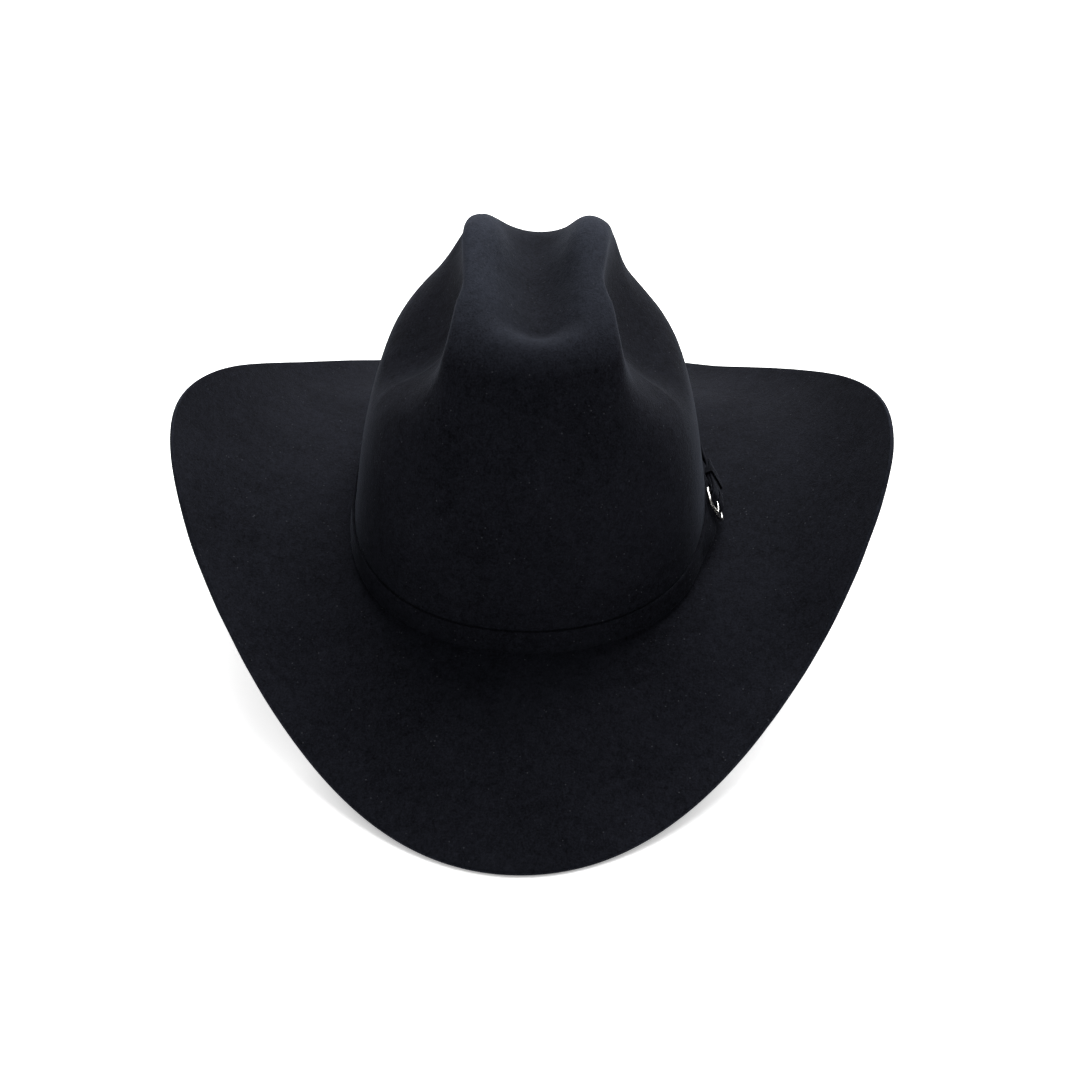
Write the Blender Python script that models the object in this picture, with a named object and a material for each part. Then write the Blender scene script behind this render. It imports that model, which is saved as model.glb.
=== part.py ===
"""Black felt cowboy hat with a narrow self band, a small metal buckle on the
wearer's left, a leather sweatband and a satin lining.

The hat rests on the front and back tips of its brim.  +X is the wearer's left,
-Y is the front, +Z is up.  All lengths below are in millimetres.
"""
import math

import bpy
import numpy as np

# ------------------------------------------------------------------ driving sizes
MM = 0.001

FELT = 2.5                 # thickness of the felt
LIFT = 1.6                 # raises the body so that the brim tips rest on z = 0

BRIM_HALF_WIDTH = 166.4
BRIM_HALF_LENGTH = 209.4
BRIM_SQUARE = 0.128        # pulls the outline in between the axes
BRIM_EGG = -0.10           # makes the front fuller than the back
ROLL_HEIGHT = 86.5         # height of the side edges over the tips
ROLL_POWER = 3.18
ROLL_EGG = -0.165

HEAD_HALF_WIDTH = 85.1     # outside of the felt where crown and brim meet
HEAD_HALF_LENGTH = 109.2
HEAD_SQUARE = -0.118
HEAD_SHIFT = -1.0
BREAK_HEIGHT = 29.3        # height of the break at front and back
BREAK_SADDLE = 9.1         # extra height of the break at the sides
BREAK_RADIUS = 2.0

CROWN_TOP = 191.7          # top of the open crown before it is creased
CROWN_FRONT = 161.0        # level of the creased top at the brow
CROWN_BACK = 174.5
CROWN_SPRING = 72.4        # height at which the wall starts to round over
CROWN_POWER = 1.974
TAPER_X = 0.157
TAPER_Y = 0.128
CROWN_CENTRE = 84.0
# side dents: three balls (across, along, up, radius) joined by tapered capsules
DENT_RIGHT = ((70.0, -64.1, 152.5, 28.7), (69.8, -15.2, 153.6, 39.0),
              (66.0, 62.4, 165.2, 31.8))
DENT_LEFT = ((69.4, -62.9, 151.3, 30.7), (71.0, -12.8, 151.7, 41.9),
             (78.2, 62.2, 159.5, 39.7))

SWEAT_TALL = 54.0
SWEAT_THICK = 1.1
SWEAT_OFF = 1.7            # distance from the inside of the felt to the sweatband
BOW_RISE = 9.6
LINING_OFF = 0.35
LINING_THICK = 0.4

BAND_TALL = 10.5
STRAP_HALF = 0.55          # half the thickness of the band
TAIL_HALF = 0.5            # the same at its free end
PLAIN_FROM = 48.0          # the band lies single and flat from here
PLAIN_UNTIL = 20.0         # up to this far in front of the heel bar
BAND_FOOT = 2.0            # lower edge of the band over the break
BAND_LIFT = 2.6            # how far the band climbs to let the buckle clear the brim
BAND_LEAN = math.radians(20.0)      # the brim pushes the foot of the band out there
LEAN_OVER = 0.6            # the band turns about a line this far over its upper edge
BAND_OUT = 0.9             # middle of the band to the outside of the felt
SLOT_CLIMB = 3.5           # how much further out it passes over the heel bar
CLEAR = 0.3
BUCKLE_ANGLE = math.radians(-11.5)  # where the heel bar sits on the wearer's left

BAR_RADIUS = 0.7
BAR_OUT = 2.0              # heel bar centre to the outside of the felt
LOOP_RADIUS = 1.25         # strap fold around the heel bar, to its middle
FRAME_LONG = 11.0
FRAME_HALF = 6.75
FRAME_RISE = 1.2           # how much further out the front of the frame stands
TAIL_END = 30.0
KEEPER_AT = 15.5
KEEPER_WIDE = 5.0

AROUND = 64                # facets around the felt

# ------------------------------------------------------------------ shape of the felt


def smooth(value, low, high):
    t = np.clip((value - low) / (high - low), 0.0, 1.0)
    return t * t * (3.0 - 2.0 * t)


def smooth_max(a, b, k):
    h = np.clip(0.5 + 0.5 * (a - b) / k, 0.0, 1.0)
    return b + (a - b) * h + k * h * (1.0 - h)


def oval(angle, half_x, half_y, square):
    c = np.cos(angle)
    s = np.sin(angle)
    four = (2.0 * s * c) ** 2
    return (c * c / half_x ** 2 + s * s / half_y ** 2
            + square * four / (half_x * half_y)) ** -0.5


def round_cone(x, y, z, start, end, r_start, r_end, stretch):
    """Distance to a tapered capsule; stretch flattens it along z."""
    sx, sy, sz = start
    ex, ey, ez = end
    dx, dy, dz = ex - sx, ey - sy, (ez - sz) / stretch
    px, py, pz = x - sx, y - sy, (z - sz) / stretch
    t = np.clip((px * dx + py * dy + pz * dz) / (dx * dx + dy * dy + dz * dz), 0.0, 1.0)
    gap = np.sqrt((px - t * dx) ** 2 + (py - t * dy) ** 2 + (pz - t * dz) ** 2)
    return gap - (r_start + (r_end - r_start) * t)


def side_dent(x, y, z, balls):
    parts = []
    for a, b in zip(balls[:-1], balls[1:]):
        parts.append(round_cone(x, y, z, a[:3], b[:3], a[3], b[3], 1.0))
    return np.minimum(*parts)


def crown_field(x, y, z):
    """Negative inside the creased crown, zero on its outer surface."""
    up = z - BREAK_HEIGHT - BREAK_SADDLE
    half_x = HEAD_HALF_WIDTH - TAPER_X * up
    half_y = HEAD_HALF_LENGTH - TAPER_Y * up
    yy = y - HEAD_SHIFT
    angle = np.arctan2(yy, x)
    q = np.hypot(x, yy) / oval(angle, half_x, half_y, HEAD_SQUARE)
    rise = np.clip((z - CROWN_SPRING) / (CROWN_TOP - CROWN_SPRING), 0.0, None)
    n = CROWN_POWER
    field = ((q ** n + rise ** n) ** (1.0 / n) - 1.0) * 82.0
    # the top is drawn down to a level line, a little higher at the back
    xc = x - 1.2 - 3.0 * smooth(-y, -20.0, 60.0)
    ceiling = CROWN_FRONT + (CROWN_BACK - CROWN_FRONT) * smooth(y, -60.0, 50.0)
    field = smooth_max(field, z - ceiling, 16.0)
    # centre crease: a trough from the brow to the back
    crease = round_cone(xc, y, z, (0, -40, 164), (0, 90, 169), 12.0, 16.0, 1.2)
    field = smooth_max(field, -crease, 17.0)
    # side dents: crisp along the ridge, fading out softly below
    dent = np.minimum(side_dent(-xc, y, z, DENT_RIGHT), side_dent(xc, y, z, DENT_LEFT))
    return smooth_max(field, -dent, 4.0 + 10.0 * smooth(-z, -150.0, -128.0))


def ray_hit(origin, direction, near, far, steps=44):
    """Distance along each ray at which the crown field crosses zero."""
    low = np.full(direction.shape[1:], near)
    high = np.full(direction.shape[1:], far)
    for _ in range(steps):
        mid = 0.5 * (low + high)
        x, y, z = (origin[i] + direction[i] * mid for i in range(3))
        inside = crown_field(x, y, z) < 0.0
        low = np.where(inside, mid, low)
        high = np.where(inside, high, mid)
    return 0.5 * (low + high)


def break_height(angle):
    return BREAK_HEIGHT + BREAK_SADDLE * np.cos(angle) ** 2


def wall_radius(angle, height):
    """Distance of the outer crown wall from the axis at a given height."""
    foot = break_height(angle) + BREAK_RADIUS
    z = np.maximum(height, foot)
    flat = np.zeros_like(z)
    way = np.stack([np.cos(angle) + flat, np.sin(angle) + flat, flat])
    return ray_hit((flat, flat, z), way, 40.0, 140.0)


def brim_edge(angle):
    egg = BRIM_SQUARE + BRIM_EGG * np.sin(angle)
    rho = oval(angle, BRIM_HALF_WIDTH, BRIM_HALF_LENGTH, egg)
    power = ROLL_POWER + ROLL_EGG * np.sin(angle)
    share = np.abs(rho * np.cos(angle)) / BRIM_HALF_WIDTH
    height = ROLL_HEIGHT * share ** power
    slope = ROLL_HEIGHT * power * share ** (power - 1.0) / BRIM_HALF_WIDTH
    return rho, height, slope * np.abs(np.cos(angle))


def felt_rings(angle, caps, walls, bends, leaves):
    """Outer surface of the felt as rings, from the top of the crown to the brim edge.

    Each argument after the angles lists positions from 0 to 1 within that zone.
    """
    c = np.cos(angle)
    s = np.sin(angle)
    zero = np.zeros_like(angle)
    rings = []
    for share in caps:
        tilt = 0.5 * math.pi * share
        way = np.stack([math.sin(tilt) * c, math.sin(tilt) * s, math.cos(tilt) + zero])
        r = ray_hit((zero, zero, zero + CROWN_CENTRE), way, 20.0, 150.0)
        rings.append(np.stack([way[0] * r, way[1] * r, CROWN_CENTRE + way[2] * r], 1))
    foot = break_height(angle) + BREAK_RADIUS
    for share in walls:
        z = CROWN_CENTRE + (foot - CROWN_CENTRE) * share
        rho = wall_radius(angle, z)
        rings.append(np.stack([rho * c, rho * s, z], 1))
    rho_foot = wall_radius(angle, foot)
    leave = np.arctan(0.16 * c ** 2 - 0.17 * s ** 2)
    for share in bends:
        a = (0.5 * math.pi + leave) * share
        rho = rho_foot + BREAK_RADIUS * (1.0 - np.cos(a))
        z = foot - BREAK_RADIUS * np.sin(a)
        rings.append(np.stack([rho * c, rho * s, z], 1))
    a = 0.5 * math.pi + leave
    rho0 = rho_foot + BREAK_RADIUS * (1.0 - np.cos(a))
    z0 = foot - BREAK_RADIUS * np.sin(a)
    rho3, z3, slope = brim_edge(angle)
    arrive = np.arctan(slope - 0.33 * np.abs(s) ** 3)
    span = np.hypot(rho3 - rho0, z3 - z0)
    rho1 = rho0 + 0.36 * span * np.cos(leave)
    z1 = z0 + 0.36 * span * np.sin(leave)
    rho2 = rho3 - 0.36 * span * np.cos(arrive)
    z2 = z3 - 0.36 * span * np.sin(arrive)
    for t in leaves:
        w0, w1, w2, w3 = (1 - t) ** 3, 3 * t * (1 - t) ** 2, 3 * t * t * (1 - t), t ** 3
        rho = w0 * rho0 + w1 * rho1 + w2 * rho2 + w3 * rho3
        z = w0 * z0 + w1 * z1 + w2 * z2 + w3 * z3
        rings.append(np.stack([rho * c, rho * s, z], 1))
    grid = np.array(rings)
    grid[:, :, 2] += LIFT
    return grid


# ------------------------------------------------------------------ band coordinates


def build_track():
    """Middle line of the hat band, measured rearwards from the heel bar."""
    angle = np.linspace(0.0, 2.0 * math.pi, 1441)[:-1] + BUCKLE_ANGLE
    rho = wall_radius(angle, break_height(angle) + 6.0)
    run = np.hypot(rho * np.cos(angle), rho * np.sin(angle)) * (2.0 * math.pi / 1440)
    rough = np.cumsum(run) - run[0]
    total = rough[-1] + run[-1]
    near = np.where(rough > 0.5 * total, rough - total, rough)
    climb = smooth(near, -62.0, -20.0) * (1.0 - smooth(near, 50.0, 95.0))
    low = break_height(angle) + BAND_FOOT + 0.5 * BAND_TALL + BAND_LIFT * climb
    points = []
    for z in (low, low + 6.0):
        rho = wall_radius(angle, z)
        points.append(np.stack([rho * np.cos(angle), rho * np.sin(angle), z + LIFT], 1))
    mid, top = points
    ahead = np.roll(mid, -1, axis=0) - np.roll(mid, 1, axis=0)
    ahead /= np.linalg.norm(ahead, axis=1, keepdims=True)
    up = top - mid
    up -= ahead * np.sum(up * ahead, axis=1, keepdims=True)
    up /= np.linalg.norm(up, axis=1, keepdims=True)
    out = np.cross(ahead, up)
    lean = BAND_LEAN * smooth(near, -40.0, -18.0) * (1.0 - smooth(near, 22.0, 48.0))
    c, s = np.cos(lean)[:, None], np.sin(lean)[:, None]
    mid = mid + out * s * (0.5 * BAND_TALL + LEAN_OVER)
    out, up = out * c + up * s, up * c - out * s
    pace = np.linalg.norm(np.roll(mid, -1, axis=0) - mid, axis=1)
    length = np.concatenate([[0.0], np.cumsum(pace)])
    rows = [np.concatenate([a, a[:1]]) for a in (mid, out, up)]
    return length, rows


TRACK_LENGTH, TRACK_ROWS = build_track()
ROUND = float(TRACK_LENGTH[-1])


def on_track(t):
    """Point, outward direction and upward direction of the band line at t."""
    t = np.mod(np.asarray(t, float), ROUND)
    picked = []
    for rows in TRACK_ROWS:
        cols = [np.interp(t, TRACK_LENGTH, rows[:, i]) for i in range(3)]
        picked.append(np.stack(cols, -1))
    return picked


def place(t, n, u):
    """Local position (along, outward, up) on the band as a point in space."""
    point, out, up = on_track(t)
    n = np.asarray(n, float)[..., None]
    u = np.asarray(u, float)[..., None]
    return point + out * n + up * u


def step(t, low, high):
    return float(smooth(np.array(t), low, high))


# ------------------------------------------------------------------ building blocks


def clear_scene():
    for item in list(bpy.data.objects):
        bpy.data.objects.remove(item)
    for block in (bpy.data.meshes, bpy.data.materials):
        for item in list(block):
            block.remove(item)


def material(name, colour, roughness, metallic=0.0):
    made = bpy.data.materials.new(name)
    made.use_nodes = True
    shader = made.node_tree.nodes["Principled BSDF"]
    shader.inputs["Base Color"].default_value = (*colour, 1.0)
    shader.inputs["Roughness"].default_value = roughness
    shader.inputs["Metallic"].default_value = metallic
    return made


def signed_volume(points, faces):
    total = 0.0
    for face in faces:
        a = points[face[0]]
        for i in range(1, len(face) - 1):
            b = points[face[i]]
            c = points[face[i + 1]]
            total += float(np.dot(a, np.cross(b, c)))
    return total / 6.0


def add_body(name, points, faces, made, origin=(0.0, 0.0, 0.0)):
    points = np.asarray(points, float)
    faces = [list(f) for f in faces]
    if signed_volume(points - points.mean(axis=0), faces) < 0.0:
        faces = [f[::-1] for f in faces]
    origin = np.asarray(origin, float)
    mesh = bpy.data.meshes.new(name)
    mesh.from_pydata(((points - origin) * MM).tolist(), [], faces)
    mesh.validate()
    for polygon in mesh.polygons:
        polygon.use_smooth = True
    mesh.materials.append(made)
    body = bpy.data.objects.new(name, mesh)
    body.location = tuple(origin * MM)
    bpy.context.scene.collection.objects.link(body)
    return body


def shell(outer, inner, wrap=True, peaks=None):
    """Closed body between two grids of rings.

    peaks holds the two centre points that close the top of a dome; without them
    the first ring is joined outer to inner, like the edge of a strip.
    """
    rows = np.concatenate([outer, inner[::-1]])
    count, around = rows.shape[:2]
    points = rows.reshape(-1, 3).tolist()
    faces = []
    last = around if wrap else around - 1
    ring_pairs = [(j, j + 1) for j in range(count - 1)]
    if peaks is None:
        ring_pairs.append((count - 1, 0))
    for j, k in ring_pairs:
        for i in range(last):
            ii = (i + 1) % around
            a, b = j * around + i, j * around + ii
            c, d = k * around + ii, k * around + i
            if 2 * j < count:
                faces += [[a, b, c], [a, c, d]]
            else:
                faces += [[a, b, d], [b, c, d]]
    if peaks is not None:
        points += [list(peaks[0]), list(peaks[1])]
        top = count * around
        end = (count - 1) * around
        for i in range(around):
            ii = (i + 1) % around
            faces.append([top, ii, i])
            faces.append([top + 1, end + i, end + ii])
    if not wrap:
        half = count // 2
        for j in range(half - 1):
            a, b = j, j + 1
            c, d = count - 2 - j, count - 1 - j
            edge = around - 1
            faces.append([a * around, b * around, c * around, d * around])
            faces.append([d * around + edge, c * around + edge,
                          b * around + edge, a * around + edge])
    return points, faces


def tube(rings, closed):
    """Closed body from cross-sections that all have the same number of points."""
    rings = np.asarray(rings, float)
    count, around = rings.shape[:2]
    points = rings.reshape(-1, 3).tolist()
    faces = []
    last = count if closed else count - 1
    for j in range(last):
        k = (j + 1) % count
        for i in range(around):
            ii = (i + 1) % around
            faces.append([j * around + i, j * around + ii, k * around + ii, k * around + i])
    if not closed:
        faces.append(list(range(around))[::-1])
        faces.append([(count - 1) * around + i for i in range(around)])
    return points, faces


def sheet(outer, inner, keep):
    """Closed body between two grids; cells that are not kept become holes."""
    rows, cols = outer.shape[:2]
    points = np.concatenate([outer.reshape(-1, 3), inner.reshape(-1, 3)]).tolist()
    low = rows * cols
    faces = []

    def kept(i, j):
        return 0 <= i < rows - 1 and 0 <= j < cols - 1 and keep(i, j)

    for i in range(rows - 1):
        for j in range(cols - 1):
            if not kept(i, j):
                continue
            a, b = i * cols + j, i * cols + j + 1
            c, d = (i + 1) * cols + j + 1, (i + 1) * cols + j
            faces.append([a, b, c, d])
            faces.append([low + d, low + c, low + b, low + a])
            sides = (((i - 1, j), a, b), ((i + 1, j), c, d),
                     ((i, j + 1), b, c), ((i, j - 1), d, a))
            for neighbour, p, q in sides:
                if not kept(*neighbour):
                    faces.append([p, low + p, low + q, q])
    return points, faces


def wall_points(angle, rise, inset):
    """Points a given distance inside the outer crown wall, rise above the break."""
    z = break_height(angle) + rise
    rho = wall_radius(angle, z) - inset
    return np.stack([rho * np.cos(angle), rho * np.sin(angle), z + LIFT], -1)


def ring_tube(centres, axis_out, radius, sides):
    """Round cord along a closed line; axis_out points away from the wall."""
    ahead = np.roll(centres, -1, axis=0) - np.roll(centres, 1, axis=0)
    ahead /= np.linalg.norm(ahead, axis=1, keepdims=True)
    side = axis_out - ahead * np.sum(axis_out * ahead, axis=1, keepdims=True)
    side /= np.linalg.norm(side, axis=1, keepdims=True)
    other = np.cross(ahead, side)
    rings = []
    for k in range(len(centres)):
        ring = []
        for m in range(sides):
            a = 2.0 * math.pi * m / sides
            ring.append(centres[k] + radius * (math.cos(a) * side[k] + math.sin(a) * other[k]))
        rings.append(ring)
    return rings


# ------------------------------------------------------------------ felt and linings

CAPS = [0.05, 0.11, 0.17, 0.23, 0.29, 0.35, 0.41, 0.455, 0.50, 0.545, 0.60, 0.66,
        0.73, 0.81, 0.90, 1.0]
WALLS = [0.3, 0.65, 1.0]
BENDS = [0.5, 1.0]
LEAVES = [0.1, 0.24, 0.38, 0.52, 0.66, 0.79, 0.91, 0.985, 1.0]
TIP_RINGS = 8              # rings of the crown covered by the lining tip
SIDE_FIRST = 9
SIDE_LAST = 17


def soften(normal, rings, rounds):
    """Even out the normals of the first rings, so that inner layers do not fold."""
    n = normal.copy()
    for _ in range(rounds):
        mean = 2.0 * n + np.roll(n, 1, axis=1) + np.roll(n, -1, axis=1)
        mean[1:] += n[:-1]
        mean[:-1] += n[1:]
        mean /= np.linalg.norm(mean, axis=2, keepdims=True)
        n[:rings] = mean[:rings]
    return n


def felt_surface():
    """Rings of the outer felt surface with unit normals, plus the top point."""
    angle = np.arange(AROUND) * 2.0 * math.pi / AROUND
    grid = felt_rings(angle, CAPS, WALLS, BENDS, LEAVES)
    nudge = 0.004
    near = 0.004
    turned = felt_rings(angle + nudge, CAPS, WALLS, BENDS, LEAVES)
    moved = felt_rings(angle, [c + near for c in CAPS[:-1]] + [1.0 - near],
                       [w + near for w in WALLS[:-1]] + [1.0 - near],
                       [b + near for b in BENDS[:-1]] + [1.0 - near],
                       [v + near for v in LEAVES[:-1]] + [1.0 - near])
    around = turned - grid
    along = moved - grid
    for zone_end in (len(CAPS), len(CAPS) + len(WALLS),
                     len(CAPS) + len(WALLS) + len(BENDS), len(grid)):
        along[zone_end - 1] *= -1.0
    normal = np.cross(along, around)
    normal /= np.linalg.norm(normal, axis=2, keepdims=True)
    peak = felt_rings(angle[:1], [0.0], [], [], [LEAVES[-1]])[0, 0]
    return angle, grid, soften(normal, len(CAPS), 3), peak


def offset(grid, normal, depth):
    return grid - normal * depth


def make_felt(angle, grid, normal, peak):
    under = offset(grid, normal, FELT)
    under[:, :, 2] = np.maximum(under[:, :, 2], 0.0)
    peaks = (peak, peak - np.array([0.0, 0.0, FELT]))
    made = material("black_fur_felt", (0.012, 0.013, 0.016), 0.92)
    return add_body("felt_body", *shell(grid, under, True, peaks), made)


def make_lining(grid, normal, peak):
    satin = material("ivory_satin", (0.72, 0.68, 0.60), 0.42)
    piping = material("piping_cord", (0.55, 0.50, 0.42), 0.5)
    clear = material("clear_vinyl", (0.85, 0.87, 0.88), 0.12)
    top = FELT + LINING_OFF
    low = top + LINING_THICK
    down = np.array([0.0, 0.0, 1.0])
    cap = grid[:TIP_RINGS], normal[:TIP_RINGS]
    add_body("lining_tip", *shell(offset(*cap, top), offset(*cap, low), True,
                                  (peak - top * down, peak - low * down)), satin)
    side = grid[SIDE_FIRST:SIDE_LAST], normal[SIDE_FIRST:SIDE_LAST]
    add_body("lining_side", *shell(offset(*side, top), offset(*side, low)), satin)
    seam = offset(grid[TIP_RINGS], normal[TIP_RINGS], low + CLEAR + 0.8)
    add_body("lining_piping", *tube(ring_tube(seam, normal[TIP_RINGS], 0.7, 6), True), piping)
    patch = grid[:5], normal[:5]
    add_body("lining_shield",
             *shell(offset(*patch, low + CLEAR), offset(*patch, low + 2.0 * CLEAR), True,
                    (peak - (low + CLEAR) * down, peak - (low + 2.0 * CLEAR) * down)), clear)


# ------------------------------------------------------------------ sweatband parts


def make_sweatband(angle):
    leather = material("sweatband_leather", (0.30, 0.17, 0.09), 0.55)
    cloth = material("reed_tape_cloth", (0.16, 0.11, 0.07), 0.85)
    plastic = material("reed_plastic", (0.75, 0.73, 0.68), 0.4)
    thread = material("sweatband_thread", (0.62, 0.52, 0.36), 0.7)
    tape = material("seam_tape_cloth", (0.20, 0.15, 0.10), 0.85)
    ribbon = material("bow_ribbon", (0.02, 0.02, 0.022), 0.45)
    quarter = AROUND // 4
    gap = 0.006
    turn = np.concatenate([[angle[quarter] + gap], angle[quarter + 1:],
                           angle[:quarter] + 2.0 * math.pi,
                           [angle[quarter] + 2.0 * math.pi - gap]])
    rises = [0.5 + SWEAT_TALL * k / 4.0 for k in range(5)]
    front = FELT + SWEAT_OFF
    back = front + SWEAT_THICK
    outer = np.array([wall_points(turn, r, front) for r in rises[::-1]])
    inner = np.array([wall_points(turn, r, back) for r in rises[::-1]])
    add_body("sweatband", *shell(outer, inner, False), leather)
    rises = [9.0, 5.0, 1.2]
    outer = np.array([wall_points(angle, r, FELT + 0.35) for r in rises])
    inner = np.array([wall_points(angle, r, FELT + 0.85) for r in rises])
    add_body("reed_tape", *shell(outer, inner), cloth)
    rear = 0.5 * math.pi + np.array([-0.055, 0.0, 0.055])
    rises = [36.0, 28.0, 19.5, 11.0]
    outer = np.array([wall_points(rear, r, FELT + 1.05) for r in rises])
    inner = np.array([wall_points(rear, r, FELT + 1.4) for r in rises])
    add_body("sweatband_seam_tape", *shell(outer, inner, False), tape)
    away = np.stack([np.cos(angle), np.sin(angle), 0.0 * angle], 1)
    line = wall_points(angle, -0.5, FELT + 0.8)
    add_body("sweatband_reed", *tube(ring_tube(line, away, 0.85, 6), True), plastic)
    line = wall_points(angle, 4.0, back + 0.5)
    add_body("sweatband_thread", *tube(ring_tube(line, away, 0.28, 5), True), thread)
    make_bow(ribbon, back + CLEAR)


def make_bow(made, inset):
    """Small flat bow over the rear seam of the sweatband."""
    cols = [-11.0, -8.0, -4.5, -1.8, 0.0, 1.8, 4.5, 8.0, 11.0]
    tall = [4.2, 4.0, 2.6, 1.5, 1.7, 1.5, 2.6, 4.0, 4.2]
    thick = [0.5, 1.2, 1.3, 0.9, 1.6, 0.9, 1.3, 1.2, 0.5]
    rear = HEAD_HALF_LENGTH - inset
    rings = []
    for x, half, deep in zip(cols, tall, thick):
        turn = np.array([0.5 * math.pi - x / rear])
        ring = []
        for rise, depth in ((half, 0.0), (-half, 0.0), (-half, deep), (half, deep)):
            ring.append(wall_points(turn, BOW_RISE + rise, inset + depth)[0])
        rings.append(ring)
    return add_body("sweatband_bow", *tube(rings, False), made)


# ------------------------------------------------------------------ hat band


def base_top(t):
    """Outer face of the lower strap layer behind the heel bar."""
    return 3.6 - 1.3 * step(t, 1.0, 14.0) - 0.85 * step(t, 22.0, 34.0)


def strap_path():
    """Middle line of the strap as (along, out, half thickness, zone)."""
    path = []
    for t in (9.0, 6.0, 3.0, 1.2):
        path.append((t, 0.75, 0.35, "fold"))
    for k in range(1, 10):
        a = math.radians(-90.0 - 18.0 * k)
        path.append((LOOP_RADIUS * math.cos(a), BAR_OUT + LOOP_RADIUS * math.sin(a),
                     0.35, "loop"))
    for t in (0.2, 1.6, 3.2, 5.0, 7.0, 9.0, 11.0, 13.5):
        half = 0.35 + 0.20 * step(t, 2.0, 12.0)
        path.append((t, base_top(t) - half, half, "fold"))
    for t in (17.0, 20.0, 23.0, 26.0, 29.0, 33.0, 38.0, 43.0, PLAIN_FROM):
        path.append((t, base_top(t) - STRAP_HALF, STRAP_HALF, "base"))
    runs = 46
    for k in range(1, runs):
        path.append((PLAIN_FROM + (ROUND - PLAIN_FROM - PLAIN_UNTIL) * k / runs, BAND_OUT,
                     STRAP_HALF, "base"))
    for t in (-17.0, -14.0, -12.0, -10.2, -8.6):
        path.append((ROUND + t, BAND_OUT + SLOT_CLIMB * step(t, -12.5, -1.5), TAIL_HALF,
                     "rise"))
    for t in (-7.2, -5.4, -3.6, -1.8, 0.0, 1.3, 2.6):
        path.append((ROUND + t, BAND_OUT + SLOT_CLIMB * step(t, -12.5, -1.5), TAIL_HALF,
                     "slot"))
    for t in (4.0, 6.0, 8.0, 10.0, 12.5, 15.0, 18.0, 21.0, 24.0, 26.0, 28.0, 29.2, TAIL_END):
        path.append((ROUND + t, base_top(t) + CLEAR + TAIL_HALF, TAIL_HALF, "tail"))
    return path


def strap_width(path):
    """Share of the full width; the free end is cut to a rounded point."""
    shares = []
    for t, _, _, zone in path:
        x = (t - ROUND - TAIL_END + 5.0) / 5.0 if zone == "tail" else 0.0
        shares.append(1.0 - 0.85 * max(x, 0.0) ** 2)
    return np.array(shares)


def make_strap():
    made = material("band_felt", (0.012, 0.013, 0.016), 0.88)
    path = strap_path()
    line = np.array([p[:2] for p in path])
    ahead = np.gradient(line, axis=0)
    ahead /= np.linalg.norm(ahead, axis=1, keepdims=True)
    across = np.stack([-ahead[:, 1], ahead[:, 0]], 1)
    half = np.array([p[2] for p in path])[:, None]
    edges = (-0.5 * BAND_TALL, -1.5, 1.5, 0.5 * BAND_TALL)
    wide = strap_width(path)
    faces_of = []
    for sign in (1.0, -1.0):
        spot = line + sign * across * half
        faces_of.append(np.stack([place(spot[:, 0], spot[:, 1], u * wide)
                                  for u in edges], 1))
    zones = [p[3] for p in path]
    spots = [p[0] for p in path]

    def keep(i, j):
        if j != 1:
            return True
        loop = "loop" in (zones[i], zones[i + 1])
        early = zones[i] == "fold" and max(spots[i], spots[i + 1]) < 3.5
        slot = zones[i] == "slot" or zones[i + 1] == "slot"
        return not (loop or early or slot)

    return add_body("band_strap", *sheet(faces_of[0], faces_of[1], keep), made)


def make_frame():
    """Buckle frame: a rounded ring whose rear side is the slim heel bar."""
    metal = material("antique_silver", (0.62, 0.61, 0.58), 0.28, 1.0)
    path = []
    corner = 2.6
    for u in (-5.9, -3.0, 0.0, 3.0, 5.9):
        path.append((0.0, u, BAR_RADIUS, BAR_RADIUS))
    rail = ((-1.1, 6.6), (-3.2, FRAME_HALF), (-5.4, FRAME_HALF + 0.1), (-7.8, FRAME_HALF))
    path += [(t, u, 0.9, 0.8) for t, u in rail]
    for k in (1, 2, 3):
        a = math.radians(22.5 * k)
        path.append((-FRAME_LONG + corner - corner * math.sin(a),
                     FRAME_HALF - corner + corner * math.cos(a), 1.0, 0.8))
    for u in (3.0, 0.0, -3.0):
        path.append((-FRAME_LONG, u, 1.0, 0.8))
    for k in (3, 2, 1):
        a = math.radians(22.5 * k)
        path.append((-FRAME_LONG + corner - corner * math.sin(a),
                     -FRAME_HALF + corner - corner * math.cos(a), 1.0, 0.8))
    path += [(t, -u, 0.9, 0.8) for t, u in rail[::-1]]
    line = np.array([p[:2] for p in path])
    ahead = np.roll(line, -1, axis=0) - np.roll(line, 1, axis=0)
    ahead /= np.linalg.norm(ahead, axis=1, keepdims=True)
    rings = []
    for (t, u, wide, deep), (at, au) in zip(path, ahead):
        level = BAR_OUT + FRAME_RISE * step(-t, 1.0, 10.0)
        ring = []
        for m in range(10):
            a = 2.0 * math.pi * m / 10
            shift = wide * math.cos(a)
            ring.append(place(t - au * shift, level + deep * math.sin(a), u + at * shift))
        rings.append(ring)
    return add_body("buckle_frame", *tube(rings, True), metal)


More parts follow.
